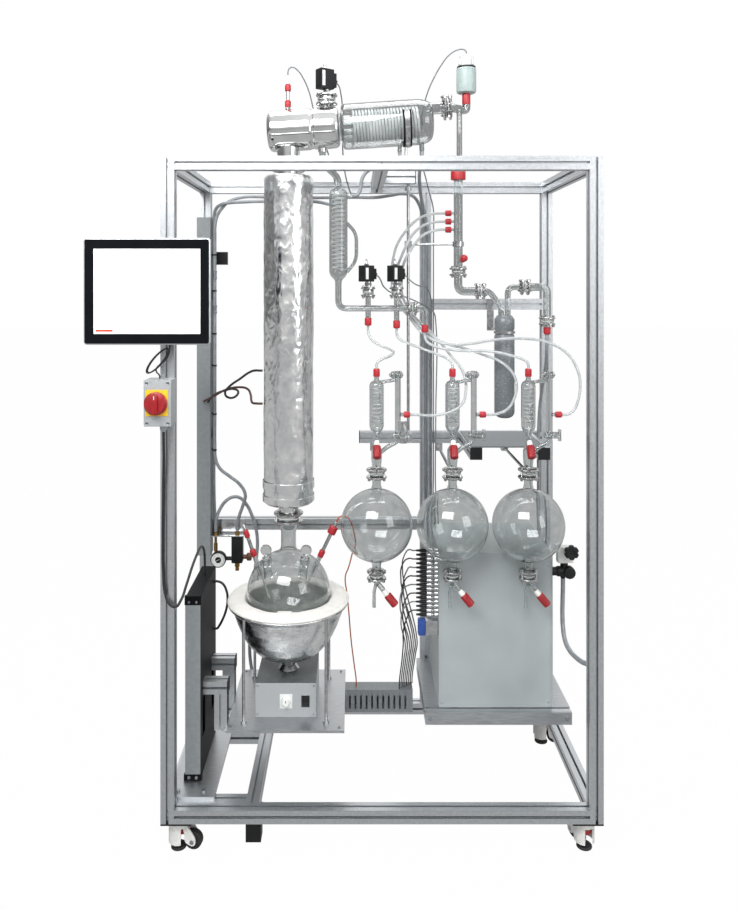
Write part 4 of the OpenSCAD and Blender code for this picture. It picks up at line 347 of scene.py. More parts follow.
class Shape:
    """Collects the mesh of one piece."""

    def __init__(self):
        self.mesh = bmesh.new()

    def face(self, rim, slot):
        """One face in the finish of its slot."""
        self.mesh.faces.new(rim).material_index = slot

    def skin(self, rows, ring=True, loop=False, slot=0, lids=False):
        """Faces between neighbouring rows: ring closes each row, loop joins the last row to the first."""
        grid = [[self.mesh.verts.new(p) for p in row] for row in rows]
        count = len(grid[0])
        for i in range(len(grid) - (0 if loop else 1)):
            near, far = grid[i], grid[(i + 1) % len(grid)]
            for j in range(count - (0 if ring else 1)):
                k = (j + 1) % count
                self.face((near[j], near[k], far[k], far[j]), slot)
        if lids:
            self.face(grid[0][::-1], slot)
            self.face(grid[-1], slot)
        return grid

    def lathe(self, profile, at=(0, 0, 0), along=UP, steps=40, slot=0, loop=False, ribs=0.0):
        """Turns points (radius, height) about a line. Ribs cut every second pair in the widest rows."""
        turn = facing(along)
        widest = max(r for r, h in profile)
        rows = []
        for r, h in profile:
            cut = ribs if r > widest - 0.6 else 0.0
            spin = [(r - cut * (j // 2 % 2), math.tau * j / steps) for j in range(steps)]
            rows.append([Vector(at) + turn @ Vector((q * math.cos(a), q * math.sin(a), h)) for q, a in spin])
        self.skin(rows, loop=loop, slot=slot, lids=not loop)
        return self

    def vessel(self, path, wall, at, along=UP, steps=40):
        """Hollow turned piece whose outside is the path."""
        return self.lathe(shell(path, wall), at, along, steps, loop=True)

    def tube(self, route, radius, bore=0.0, sides=20, slot=0):
        """Round bar along a route, or a tube where it has a bore."""
        spots = [Vector(p) for p in route]
        outer, inner = [], []
        side = None
        for i, spot in enumerate(spots):
            along = (spots[min(i + 1, len(spots) - 1)] - spots[max(i - 1, 0)]).normalized()
            side = facing(along).col[0] if side is None else (side - side.dot(along) * along).normalized()
            across = along.cross(side)
            spin = [math.tau * j / sides for j in range(sides)]
            rim = [math.cos(a) * side + math.sin(a) * across for a in spin]
            outer.append([spot + radius * d for d in rim])
            inner.append([spot + bore * d for d in rim])
        if bore:
            self.skin(outer + inner[::-1], loop=True, slot=slot)
        else:
            self.skin(outer, slot=slot, lids=True)
        return self

    def block(self, low, high, bevel=1.0, slot=0, turn=None):
        """Box with eased edges, turned about its centre."""
        low, high = Vector(low), Vector(high)
        centre, size = (low + high) / 2, high - low
        made = bmesh.ops.create_cube(self.mesh, size=1.0)["verts"]
        for corner in made:
            corner.co = Vector(a * b for a, b in zip(corner.co, size))
        edges = dict.fromkeys(e for v in made for e in v.link_edges)
        for f in {f for v in made for f in v.link_faces}:
            f.material_index = slot
        eased = bmesh.ops.bevel(self.mesh, geom=list(edges), offset=bevel, segments=2, profile=0.6,
                                affect="EDGES", material=slot)
        for v in eased["verts"]:
            v.co = centre + (turn @ v.co if turn else v.co)
        return self

    def prism(self, outline, at, along, depth, slot=0):
        """Outline of (x, y) points pushed along a direction."""
        turn = facing(along)
        rows = [[Vector(at) + turn @ Vector((x, y, h)) for x, y in outline] for h in (0, depth)]
        self.skin(rows, slot=slot, lids=True)
        return self

    def done(self, name, finishes, body="frame", stands_for=(), crease=38):
        """Makes the object, which rides on a body and may stand for CAD nodes."""
        bmesh.ops.remove_doubles(self.mesh, verts=self.mesh.verts, dist=0.003)
        bmesh.ops.recalc_face_normals(self.mesh, faces=self.mesh.faces)
        bmesh.ops.scale(self.mesh, vec=(MM, MM, MM), verts=self.mesh.verts)
        data = bpy.data.meshes.new(name)
        self.mesh.to_mesh(data)
        self.mesh.free()
        data.shade_smooth()
        data.set_sharp_from_angle(angle=math.radians(crease))
        for made in finishes:
            data.materials.append(made)
        return settle(bpy.data.objects.new(name, data), body, stands_for)


def settle(piece, body, stands_for=()):
    """Puts a piece on its body and the CAD nodes that it stands for."""
    bpy.context.scene.collection.objects.link(piece)
    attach(piece, body)
    if stands_for:
        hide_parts(*stands_for)
    return piece


# Hoses and cables
HOSE_D = 9.0
COOLING_D = 12.0
LEAD_D = 4.5
POWER_D = 8.0
DRAIN_D = 15.0


def flexible(name, route, diameter, sheath, node):
    """One hose or cable from a part of the unit to another, on a smooth curve through its route."""
    curve = bpy.data.curves.new(name, "CURVE")
    curve.dimensions = "3D"
    curve.bevel_depth = diameter / 2 * MM
    curve.bevel_resolution = 4
    curve.resolution_u = 6
    curve.use_fill_caps = True
    spline = curve.splines.new("BEZIER")
    spline.bezier_points.add(len(route) - 1)
    for knot, spot in zip(spline.bezier_points, route):
        knot.co = Vector(spot) * MM
        knot.handle_left_type = "AUTO"
        knot.handle_right_type = "AUTO"
    curve.materials.append(sheath)
    piece = settle(bpy.data.objects.new(name, curve), "frame", (node,))
    return piece


# Product lines from the manifold to the coolers, then vacuum lines from the down tube to the vents
hose_routes = [
    [(-35, 0, 1540.7), (-35, 0, 1524), (-31, -4, 1508), (-18, -12, 1490), (4, -20, 1477), (28, -32, 1468),
     (44, -50, 1461), (44, -72, 1453), (28, -92, 1445), (6, -105, 1438), (-7, -110, 1428), (-10, -110, 1420),
     (-10, -110, 1409.3)],
    [(60, 0, 1531.7), (60, 0, 1516), (66, -4, 1500), (86, -12, 1487), (120, -25, 1475), (156, -45, 1462),
     (193, -70, 1450), (217, -95, 1440), (229, -108, 1430), (232.5, -110, 1420), (232.5, -110, 1409.3)],
    [(154, 0, 1517.7), (154, 0, 1504), (160, -6, 1489), (178, -18, 1476), (205, -28, 1468), (245, -40, 1463),
     (292, -54, 1461), (340, -64, 1462), (380, -74, 1458), (420, -86, 1450), (454, -100, 1440),
     (471, -108, 1430), (475, -110, 1420), (475, -110, 1409.3)],
    [(221.7, 0, 1915), (205, 0, 1915), (175, 2, 1912), (135, 6, 1898), (96, 12, 1862), (64, 24, 1814),
     (52, 36, 1773), (47, 45, 1736), (47, 50, 1690), (52, 52, 1650), (68, 50, 1614), (103, 46, 1570),
     (141, 32, 1522), (179, 12, 1494), (225, -8, 1480), (292, -34, 1482), (381, -58, 1498), (462, -75, 1503),
     (542, -85, 1491), (602, -95, 1457), (634, -102, 1405), (642, -106, 1360), (636, -108, 1312),
     (620, -110, 1276), (602, -110, 1263), (592, -110, 1262), (582.3, -110, 1262)],
    [(221.7, 0, 1887), (205, 0, 1887), (180, 2, 1884), (145, 5, 1872), (112, 8, 1842), (92, 11, 1806),
     (76, 30, 1768), (66, 54, 1736), (64, 64, 1690), (66, 66, 1650), (80, 64, 1614), (112, 58, 1570),
     (148, 47, 1530), (184, 29, 1503), (222, 8, 1482), (292, -18, 1464), (340, -42, 1448), (396, -74, 1425),
     (430, -92, 1390), (440, -98, 1352), (431, -104, 1312), (410, -108, 1280), (378, -110, 1265),
     (355, -110, 1262), (339.8, -110, 1262)],
    [(221.7, 0, 1860), (205, 0, 1860), (186, 3, 1857), (155, 6, 1846), (126, 9, 1820), (106, 12, 1790),
     (92, 18, 1766), (85, 34, 1745), (82, 56, 1722), (81, 74, 1690), (82, 79, 1650), (94, 78, 1614),
     (120, 72, 1575), (152, 62, 1540), (186, 44, 1508), (212, 22, 1478), (236, -12, 1446), (258, -48, 1418),
     (272, -74, 1392), (278, -90, 1362), (275, -108, 1332), (266, -128, 1307), (248, -145, 1290),
     (222, -150, 1277), (190, -148, 1268), (160, -140, 1264), (136, -124, 1262), (118, -112, 1262),
     (108, -110, 1262), (97.3, -110, 1262)]]

# Cooling water and compressed air
cooling_routes = [
    [(-506, 244, 783.3), (-506, 244, 800), (-498, 240, 838), (-482, 234, 884), (-475, 232, 918),
     (-494, 232, 954), (-531, 232, 984), (-566, 232, 1012), (-582, 232, 1046), (-585, 232, 1100),
     (-585, 232, 1200), (-585, 232, 1500), (-585, 232, 1800), (-585, 232, 1850), (-584, 232, 1895),
     (-577, 234, 1926), (-563, 236, 1950), (-538, 238, 1976), (-494, 240, 1993), (-425, 237, 1996),
     (-380, 232, 1992), (-280, 230, 1991), (-180, 230, 1992), (-80, 228, 1993), (0, 224, 1992),
     (50, 214, 1998), (90, 206, 2003), (128, 212, 1996), (152, 230, 1970), (166, 252, 1930),
     (172, 266, 1870), (172, 270, 1780), (172, 270, 1600), (172, 270, 1400), (172, 270, 1200),
     (172, 270, 1000), (172, 268, 900), (168, 240, 840), (164, 180, 800), (164, 110, 775), (170, 60, 765),
     (182, 42, 764), (193.7, 42, 764)],
    [(70.2, 0, 2117.2), (70.2, 0, 2103), (66, 0, 2091), (52, 1, 2081), (26, 3, 2073), (-4, 4, 2069),
     (-30, 3, 2060), (-48, 1, 2044), (-57, 0, 2022), (-60, 0, 2000), (-65, 0, 1984), (-76, 0, 1974),
     (-87.7, 0, 1974)],
    [(145, 0, 2122.2), (145, 0, 2106), (142, 10, 2085), (140, 44, 2060), (146, 110, 2020), (160, 190, 1975),
     (178, 245, 1920), (190, 266, 1860), (192, 270, 1780), (192, 270, 1600), (192, 270, 1400),
     (192, 270, 1200), (192, 270, 1000), (192, 268, 900), (186, 244, 845), (184, 190, 790), (182, 120, 745),
     (178, 88, 731), (183, 72, 730), (193.7, 72, 730)],
    [(-590, 268, 781.3), (-590, 268, 805), (-591, 262, 850), (-592, 255, 920), (-592, 252, 1000),
     (-592, 252, 1080), (-592, 252, 1450), (-592, 252, 1800), (-592, 252, 1870), (-592, 252, 1900),
     (-590, 249, 1930), (-582, 240, 1952), (-562, 226, 1966), (-525, 214, 1972), (-470, 206, 1974),
     (-440, 200, 1975), (-340, 190, 1975), (-250, 160, 1972), (-200, 120, 1964), (-165, 86, 1953),
     (-142, 66, 1946), (-134, 56, 1944), (-134, 46.3, 1944)],
    [(-584, 245, 781.3), (-584, 245, 800), (-581, 245, 828), (-568, 247, 863), (-547, 250, 891),
     (-521, 254, 904), (-497, 256, 900), (-474, 257, 876), (-455, 258, 838), (-440, 258, 790),
     (-434, 258, 742), (-438, 256, 676), (-448, 253, 590), (-458, 250, 480), (-462, 252, 380),
     (-457, 256, 290), (-440, 257, 226), (-415, 257, 188), (-390, 257, 176), (-360, 257, 174)],
    [(561, 0, 1511.7), (561, 0, 1490), (562, 8, 1460), (568, 40, 1420), (578, 110, 1365), (588, 190, 1300),
     (592, 245, 1220), (592, 262, 1130), (592, 262, 1000), (592, 260, 880), (592, 252, 780), (588, 246, 700),
     (583, 242, 662), (577, 240, 644), (571, 240, 640), (563.3, 240, 640)]]

# Drain from the water tap to the front post
drain_route = [(619, 20, 692.7), (619, 20, 660), (618, 20, 620), (616, 15, 576), (614, 0, 537),
               (613, -30, 506), (616, -75, 493), (621, -130, 496), (625, -190, 508), (629, -232, 521),
               (630, -256, 526), (630, -270.7, 526)]

# Leads: head probe, head valve, pressure gauge, two product valves
instrument_routes = [
    [(-302, 0, 2374.8), (-302, 0, 2386), (-298, 2, 2397), (-288, 6, 2403), (-272, 14, 2396), (-252, 28, 2370),
     (-236, 44, 2335), (-226, 60, 2300), (-218, 78, 2260), (-200, 96, 2200), (-178, 102, 2150),
     (-160, 120, 2090), (-150, 160, 2040), (-140, 198, 2012), (-122, 214, 1992)],
    [(-145.7, 19.1, 2352), (-139, 23.8, 2352), (-132, 29, 2344), (-126, 38, 2320), (-122, 56, 2290),
     (-121, 82, 2255), (-121, 94, 2215), (-121, 94, 2160), (-118, 94, 2100), (-110, 120, 2050),
     (-100, 170, 2020), (-90, 210, 1994)],
    [(292, 0, 2443.7), (292, 0, 2452), (285, 4, 2461), (268, 10, 2463), (240, 20, 2450), (214, 34, 2420),
     (190, 52, 2380), (170, 72, 2335), (156, 92, 2280), (148, 104, 2220), (146, 104, 2160), (152, 106, 2100),
     (166, 124, 2056), (184, 166, 2005), (204, 222, 1950), (209, 258, 1900), (209, 267, 1840),
     (209, 268, 1700), (209, 268, 1500), (209, 268, 1200), (209, 268, 1000), (209, 267, 860), (212, 264, 820),
     (212, 264, 804.3)],
    [(82.4, 15.7, 1708), (88, 19.6, 1708), (94, 18, 1704), (104, 11, 1694), (118, 12, 1682), (136, 30, 1674),
     (150, 76, 1672), (164, 130, 1673), (182, 200, 1660), (199, 248, 1620), (202, 260, 1560),
     (202, 260, 1500), (202, 260, 960), (202, 260, 900), (204, 252, 840), (206, 248, 818), (206, 248, 804.3)],
    [(-12.6, 15.7, 1708), (-6, 20.3, 1708), (1, 25, 1703), (8, 31, 1692), (14, 44, 1678), (26, 76, 1664),
     (52, 130, 1648), (110, 192, 1630), (165, 230, 1606), (206, 247, 1580), (217, 260, 1536),
     (217, 262, 1200), (217, 262, 900), (221, 256, 836), (222, 254, 818), (222, 254, 804.3)]]

# Display lead with its hank of spare length, and the lead of the boiler's probe
HANK_LOOPS = 3
HANK_STEPS = 24
HANK_AT = Vector((-650, -346, 1457))
HANK_LONG = Vector((-0.66, 0, -0.75))
HANK_WIDE = Vector((0.75, 0, -0.66))
hank = []
for step in range(HANK_STEPS * HANK_LOOPS + 1):
    angle = math.tau * step / HANK_STEPS
    sideways = 46 * math.sin(angle) * HANK_LONG + 13 * math.cos(angle) * HANK_WIDE
    hank.append(HANK_AT + sideways + 6 * step / HANK_STEPS * FRONT)
display_route = [(-630, -329, 1612.7), (-630, -329, 1590), (-627, -331, 1550), (-621, -336, 1510),
                 (-619, -341, 1485), (-625, -344, 1466), *hank, (-652, -366, 1434), (-651, -365, 1425),
                 (-645, -361, 1417), (-643, -361, 1411), (-643, -361, 1405.3)]
boiler_probe_route = [(-140.1, -20, 892.2), (-135, -20, 903), (-124, -17, 911), (-108, -8, 905),
                      (-94, 6, 880), (-84, 24, 840), (-82, 44, 800), (-88, 60, 762), (-100, 78, 710),
                      (-112, 100, 668), (-106, 122, 600), (-100, 160, 520), (-92, 210, 400),
                      (-80, 242, 290), (-74, 250, 240), (-74, 250, 215.3)]
# Power leads: mains from the isolator to the lift, two heater leads to the jacket, the lift's own loop
power_routes = [
    [(-632, -361, 1252.7), (-632, -361, 1228), (-634, -350, 1180), (-638, -337, 1110), (-640, -332, 1030),
     (-641, -331, 940), (-640, -331, 840), (-632, -332, 766), (-620, -335, 744), (-605, -331, 735),
     (-594, -306, 744), (-587, -262, 772), (-583, -200, 802), (-581, -130, 820), (-581, -70, 824),
     (-581, -20, 808), (-581, 6, 778), (-581, 12, 745), (-581, 12, 726), (-581, 12, 710.3)],
    [(-606, 224.7, 1256), (-606, 212, 1256), (-598, 203, 1266), (-580, 198, 1284), (-542, 190, 1300),
     (-508, 176, 1307), (-490, 160, 1298), (-504, 150, 1281), (-526, 140, 1284), (-531, 125, 1302),
     (-515, 108, 1323), (-472, 70, 1355), (-430, 30, 1384), (-408, 5, 1391), (-398, 0, 1391),
     (-386.3, 0, 1391)],
    [(-620, 224.7, 1259), (-620, 208, 1259), (-612, 192, 1264), (-585, 180, 1278), (-535, 164, 1306),
     (-485, 140, 1318), (-450, 110, 1315), (-436, 80, 1299), (-430, 50, 1284), (-420, 18, 1280),
     (-408, 3, 1281), (-398, 0, 1281), (-386.3, 0, 1281)],
    [(-556.7, 60, 667), (-546, 60, 667), (-530, 60, 660), (-517, 62, 636), (-513, 64, 604), (-517, 64, 572),
     (-528, 62, 540), (-542, 60, 514), (-548, 60, 507), (-556.7, 60, 507)]]

# Leads from every second plug of the cabinet down to the trunking
PLUG_ROWS = 16
PLUG_PITCH = 14.0
PLUG_Y = -40.0
PLUG_Z = cabinet_low.z + 292
PLUG_LEADS = 8


def plug_route(k):
    """Route of one plug's lead, each a little further to the right than the one before."""
    left = cabinet_low.x
    z = PLUG_Z + (2 * k + 1) * PLUG_PITCH
    x = left - 112 + 7 * k
    y = PLUG_Y + 6 * k
    reach = left - 104 - 3 * ((3 * k) % 5)
    return [(left - 72.3, PLUG_Y, z), (left - 82, PLUG_Y, z), (left - 92, (PLUG_Y + y) / 2, z - 4),
            (reach + 4, y, z - 20), (reach - 8, y, z - 56), (x, y + 40, 480), (x, y + 105, 400),
            (x, y + 190, 320), (x, y + 248, 265), (x, y + 270, 236), (x, y + 274, 226), (x, y + 274, 215.3)]


def lay_hoses_and_cables():
    """Every hose and cable, with its sheath and how it lies."""
    for i, route in enumerate(hose_routes):
        flexible(f"clear_hose_{i + 1}", route, HOSE_D, clear_silicone, "clear_hoses")
    for i, route in enumerate(cooling_routes):
        flexible(f"cooling_hose_{i + 1}", route, COOLING_D, grey_hose, "cooling_hoses")
    flexible("drain_hose", drain_route, DRAIN_D, grey_hose, "cooling_hoses")
    plug_sheaths = [black_sheath, grey_sheath, brown_sheath, grey_sheath]
    leads = [(f"instrument_lead_{i + 1}", route, grey_sheath) for i, route in enumerate(instrument_routes)]
    leads += [("display_lead", display_route, black_sheath),
              ("boiler_probe_lead", boiler_probe_route, orange_sheath)]
    leads += [(f"plug_lead_{k + 1}", plug_route(k), plug_sheaths[k % 4]) for k in range(PLUG_LEADS)]
    for name, route, sheath in leads:
        flexible(name, route, LEAD_D, sheath, "cables")
    power_names = ("mains_lead", "heater_lead_1", "heater_lead_2", "lift_lead")
    power_sheaths = (black_sheath, black_sheath, brown_sheath, black_sheath)
    for name, route, sheath in zip(power_names, power_routes, power_sheaths):
        flexible(name, route, POWER_D, sheath, "cables")


lay_hoses_and_cables()


# Column
FOIL_STEPS = 220
FOIL_ROW = 3.4


def crumple(spot, size):
    """Height of crumpled sheet, about -1 to 0.6: sharp folds round flat facets of about this size."""
    bent = spot / size + 0.6 * noise.noise_vector(spot / size * 0.7)
    fold = 1 - 2.2 * abs(noise.noise(bent))
    near, far = noise.voronoi(bent * 0.8)[0][:2]
    return 0.6 * fold + 0.8 * (far - near) - 0.6


def foil_jacket():
    """Foil round the column up to a flat shoulder, lapped at the front left, with tape bands and patches."""
    inner = JACKET_R - 25.5
    low, high = jacket_low.z, jacket_high.z
    reach = JACKET_R - 2.2
    lap_at = math.radians(238)
    rows = []
    count = int((high - low - 34) / FOIL_ROW)
    path = [(inner, low + 18), (inner + 2, low + 5), (reach - 7, low + 1), (reach - 2, low + 5)]
    path += [(reach, low + 10 + i * FOIL_ROW) for i in range(count)]
    path += [(reach - 0.6, high - 15), (reach - 2.5, high - 8), (reach - 7, high - 2.5),
             (reach - 15, high - 0.6), (inner + 3, high - 1), (inner, high - 6), (inner, high - 24)]
    for r, z in path:
        inside = min(1.0, max(0.0, (r - inner - 4) / 14))
        row = []
        for j in range(FOIL_STEPS):
            a = math.tau * j / FOIL_STEPS
            x, y = JACKET_R * math.cos(a), JACKET_R * math.sin(a)
            long_fold = crumple(Vector((x, y, z * 0.16)), 52)
            facets = crumple(Vector((x, y, z * 0.55 + 400)), 58)
            creases = crumple(Vector((x, y, z * 0.7)), 20)
            past_lap = (a - lap_at - 0.05 * noise.noise(Vector((0, 0, z / 90)))) % math.tau
            lap = 1.6 * max(0.0, 1 - past_lap / 0.9)
            swell = 1.8 * long_fold + 1.5 * facets + creases + lap - 0.8
            q = r + inside * min(swell, 2.1)
            row.append((COLUMN_X + q * math.cos(a), q * math.sin(a), z))
        rows.append(row)
    shape = Shape()
    shape.skin(rows, loop=True)
    shape.done("foil_jacket", [foil], stands_for=("column_jacket",), crease=80)
    tape = Shape()
    for z, tall in ((low + 9, 22), (low + 52, 26)):
        band = [(reach + 0.9, z), (reach + 2.2, z + 1), (reach + 2.2, z + tall - 1), (reach + 0.9, z + tall)]
        tape.vessel(band, 0.7, (COLUMN_X, 0, 0), steps=96)
    patch_at = math.radians(-36)
    out = Vector((math.cos(patch_at), math.sin(patch_at), 0))
    for share in (0.23, 0.42, 0.61, 0.8):
        centre = Vector((COLUMN_X, 0, low + share * (high - low))) + (reach + 0.4) * out
        half = Vector((13, 1.2, 19))
        tape.block(centre - half, centre + half, 0.8, turn=Matrix.Rotation(patch_at - math.pi / 2, 3, "Z"))
    tape.done("foil_tape_bands", [foil])


def mirror_head():
    """Silvered head with its seam, spout to the cooler and necks for valve and probe."""
    start, length, r = -70, 240, HEAD_R
    skin = [(0, 0), (r - 17, 0.5), (r - 4, 8), (r, 24), (r, 141), (r - 3, 146), (r - 3, 153), (r, 158),
            (r, length - 18), (r - 4, length - 5), (r - 14, length), (46, length), (0, length)]
    body = Shape()
    body.lathe(rounded(skin, 12, 8), head_at(start), HEAD_AXIS, steps=96)
    spout = [(38, FRAME_TOP + 18), (38, FRAME_TOP + 50), (40, FRAME_TOP + 76), (40, HEAD_Z)]
    body.lathe([(30, FRAME_TOP + 12), (46, FRAME_TOP + 12), (46, FRAME_TOP + 19), *spout], (COLUMN_X, 0, 0),
               steps=56)
    body.tube([(SPOUT_X, 0, FRAME_TOP + 64), (SPOUT_X, 0, HEAD_Z)], 15, sides=32)
    body.done("mirror_head", [silvered], stands_for=("column_head",))
    necks = Shape()
    valve_neck = [(22, 60), (22, 82), (25, 92), (25, 103)]
    necks.vessel(rounded(valve_neck, 4), 3, (HEAD_VALVE_X, 0, HEAD_Z))
    necks.vessel([(9, 66), (8, 78)], 3, (HEAD_PROBE_X, 0, HEAD_Z), steps=24)
    necks.done("head_necks", [clear_glass])


def coil_route(radius, pitch, turns, at, along, ends=0.0):
    """Helix about a line, with its two ends bent out towards the jacket's wall."""
    turn = facing(along)
    steps = 18
    route = []
    for i in range(turns * steps + 1):
        a = math.tau * i / steps
        q = radius
        if i < 4 or i > turns * steps - 4:
            q = radius + ends * (4 - min(i, turns * steps - i)) / 4
        route.append(Vector(at) + turn @ Vector((q * math.cos(a), q * math.sin(a), pitch * i / steps)))
    return route


# Glass round the condenser and the coolers
CONDENSER_U = 176.0
CONDENSER_R = 76.0
CONDENSER_L = 306.0
OUTLET_RISE = 42 * Vector((-math.sin(HEAD_SLOPE), 0, math.cos(HEAD_SLOPE)))
OUTLET_JOINT = head_at(CONDENSER_U + CONDENSER_L + 50) + OUTLET_RISE
COOLER_X = COLUMN_X + 166
COOLER_R = 30.5
COOLER_TOP = FRAME_TOP - 57
COOLER_LOW = FRAME_TOP - 348
MANIFOLD_Z = FRAME_TOP - 457
VALVE_X = (COLUMN_X + 265, COLUMN_X + 360)
VALVE_STUB_Z = (FRAME_TOP - 488, FRAME_TOP - 497)
MANIFOLD_END = COLUMN_X + 412
OUTLET_X = COLUMN_X + 454
OUTLET_STUB_Z = FRAME_TOP - 511
JOINT_GAP = 14.0
RECEIVER_Y = -110.0
RECEIVER_X = [COLUMN_X + 290 + 242.5 * i for i in range(3)]
RAIL_Z = FRAME_TOP - 941
JOINT_Z = RAIL_Z - 40
CUTOFF_Z = RAIL_Z + 58
SMALL_COOLER_R = 23.0
SMALL_COOLER_LOW = RAIL_Z + 99
SMALL_COOLER_TOP = RAIL_Z + 255
FLASK_Z = RAIL_Z - 205
FLASK_R = 115.0
BOTTOM_JOINT_Z = FLASK_Z - FLASK_R - 44
NEEDLE_Z = SMALL_COOLER_LOW - 9
OUTLET_NEEDLE_Z = BOTTOM_JOINT_Z - 22
CUTOFF_WAY = Vector((0, -0.6, -0.8))
OUTLET_WAY = Vector((0.64, -0.1, -0.76)).normalized()
VENT_DX = 68.0
VENT_PORT_Z = RAIL_Z + 148


def in_row(x, z):
    """Point in the upright plane of the receivers."""
    return Vector((x, RECEIVER_Y, z))


def condenser_glass():
    """Jacket with domed ends, neck to the vacuum line above its axis, two hose nozzles and inner tube."""
    r, length = CONDENSER_R, CONDENSER_L
    skin = [(44.5, -5), (45, 0), (r - 7, 2), (r, 10), (r, length - 46), (r - 6, length - 18),
            (r - 18, length - 5), (r - 36, length), (0, length + 2.5)]
    shape = Shape()
    shape.vessel(rounded(skin, 14), GLASS_WALL, head_at(CONDENSER_U), HEAD_AXIS, steps=80)
    core = [(40, 4), (40, length - 60), (30, length - 42), (12, length - 34)]
    shape.vessel(rounded(core, 14), 2.2, head_at(CONDENSER_U), HEAD_AXIS, steps=48)
    end = OUTLET_JOINT
    neck = [(24, -66), (20, -52), (20, -5), (30, -5), (31, -4), (31, -1), (30, 0)]
    shape.vessel(rounded(neck, 2, 4), GLASS_WALL, end, HEAD_AXIS, steps=40)
    for u in (371, CONDENSER_U + CONDENSER_L - 36):
        foot = head_at(u) - Vector((0, 0, r + 21))
        shape.tube([foot, foot + 23 * UP], 7, 4.5)
        shape.vessel([(7, 4), (8, 6), (7, 9)], 1.5, foot, UP, steps=20)
    shape.done("condenser_glass", [clear_glass], stands_for=("condenser_jacket",))


def cooling_coils():
    """Coils of condenser, product cooler and receiver coolers; the condenser's is closer than in the CAD."""
    shape = Shape()
    shape.tube(coil_route(49, 10.5, 21, head_at(CONDENSER_U + 38), HEAD_AXIS, 20), 4.5, sides=12)
    shape.tube(coil_route(19, 14, 18, (COOLER_X, 0, COOLER_LOW + 20), UP, 7), 3.5, sides=10)
    for x in RECEIVER_X:
        shape.tube(coil_route(13, 13, 9, in_row(x, SMALL_COOLER_LOW + 20), UP, 6), 2.5, sides=10)
    # Painted light: the coils' glass is near white and mostly opaque
    shape.done("cooling_coils", [coil_glass_painted_light], stands_for=("glass_coils",))


# Boiler: side necks with base point, direction, length and radius, the two probe necks last
BOILER_Z = PLATFORM_Z + 358
NECK_TOP = BOILER_Z + 250
BOILER_NECKS = []
for (neck_x, neck_y, neck_z), neck_way, neck_length, neck_r in (
        ((-57, -90, 78), (-0.08, -0.1, 0.99), 62, 14), ((52, -90, 78), (0.13, -0.1, 0.98), 62, 14),
        ((-88, -20, 62), (-0.34, 0, 0.94), 67, 8), ((80, -20, 70), (0.43, 0, 0.9), 59, 8)):
    neck_base = Vector((COLUMN_X + neck_x, neck_y, BOILER_Z + neck_z))
    BOILER_NECKS.append((neck_base, Vector(neck_way).normalized(), neck_length, neck_r))
# Upper screw cap and top end of each probe, above its neck
PROBE_CAPS = (66, 84)
PROBE_TOPS = (110, 126)


def boiler_glass():
    """Round-bottomed boiler with its flared centre neck, two stoppered necks and two thin probe necks."""
    r = 138.0
    neck = 25.0
    start = math.degrees(math.acos(neck / r))
    ball = arc((0, 0), r, -90, start - 6, 40)
    path = ball + [(27, 143), (neck, 156), (neck, 200), (29, 222), (34, 238), (39, 241), (40, 243),
                   (40, 249.5)]
    shape = Shape()
    shape.vessel(path, 4.0, (COLUMN_X, 0, BOILER_Z), steps=96)
    for base, way, length, radius in BOILER_NECKS:
        tip = base + length * way
        if radius < 10:
            shape.vessel([(radius, 0), (radius, length)], 2.2, base, way, steps=28)
            continue
        collar = [(radius, 0), (radius, length - 16), (radius + 2, length - 9), (radius + 2, length)]
        shape.vessel(rounded(collar, 3), 2.4, base, way, steps=36)
        plug = [(0, -24), (radius - 4, -24), (radius - 3, 0), (15, 1), (15, 8), (9, 10), (7.5, 13),
                (7.5, 17), (0, 18)]
        shape.lathe(rounded(plug, 2.5, 4), tip, way, steps=36)
        flat = (FRONT - FRONT.dot(way) * way).normalized()
        penny = [(0, -3.6), (13, -4), (16.4, -3.4), (18, -1.2), (18, 1.2), (16.4, 3.4), (13, 4), (0, 3.6)]
        shape.lathe(penny, tip + 31 * way, flat, steps=40)
    shape.done("boiler_glass", [clear_glass], stands_for=("boiler_flask",))


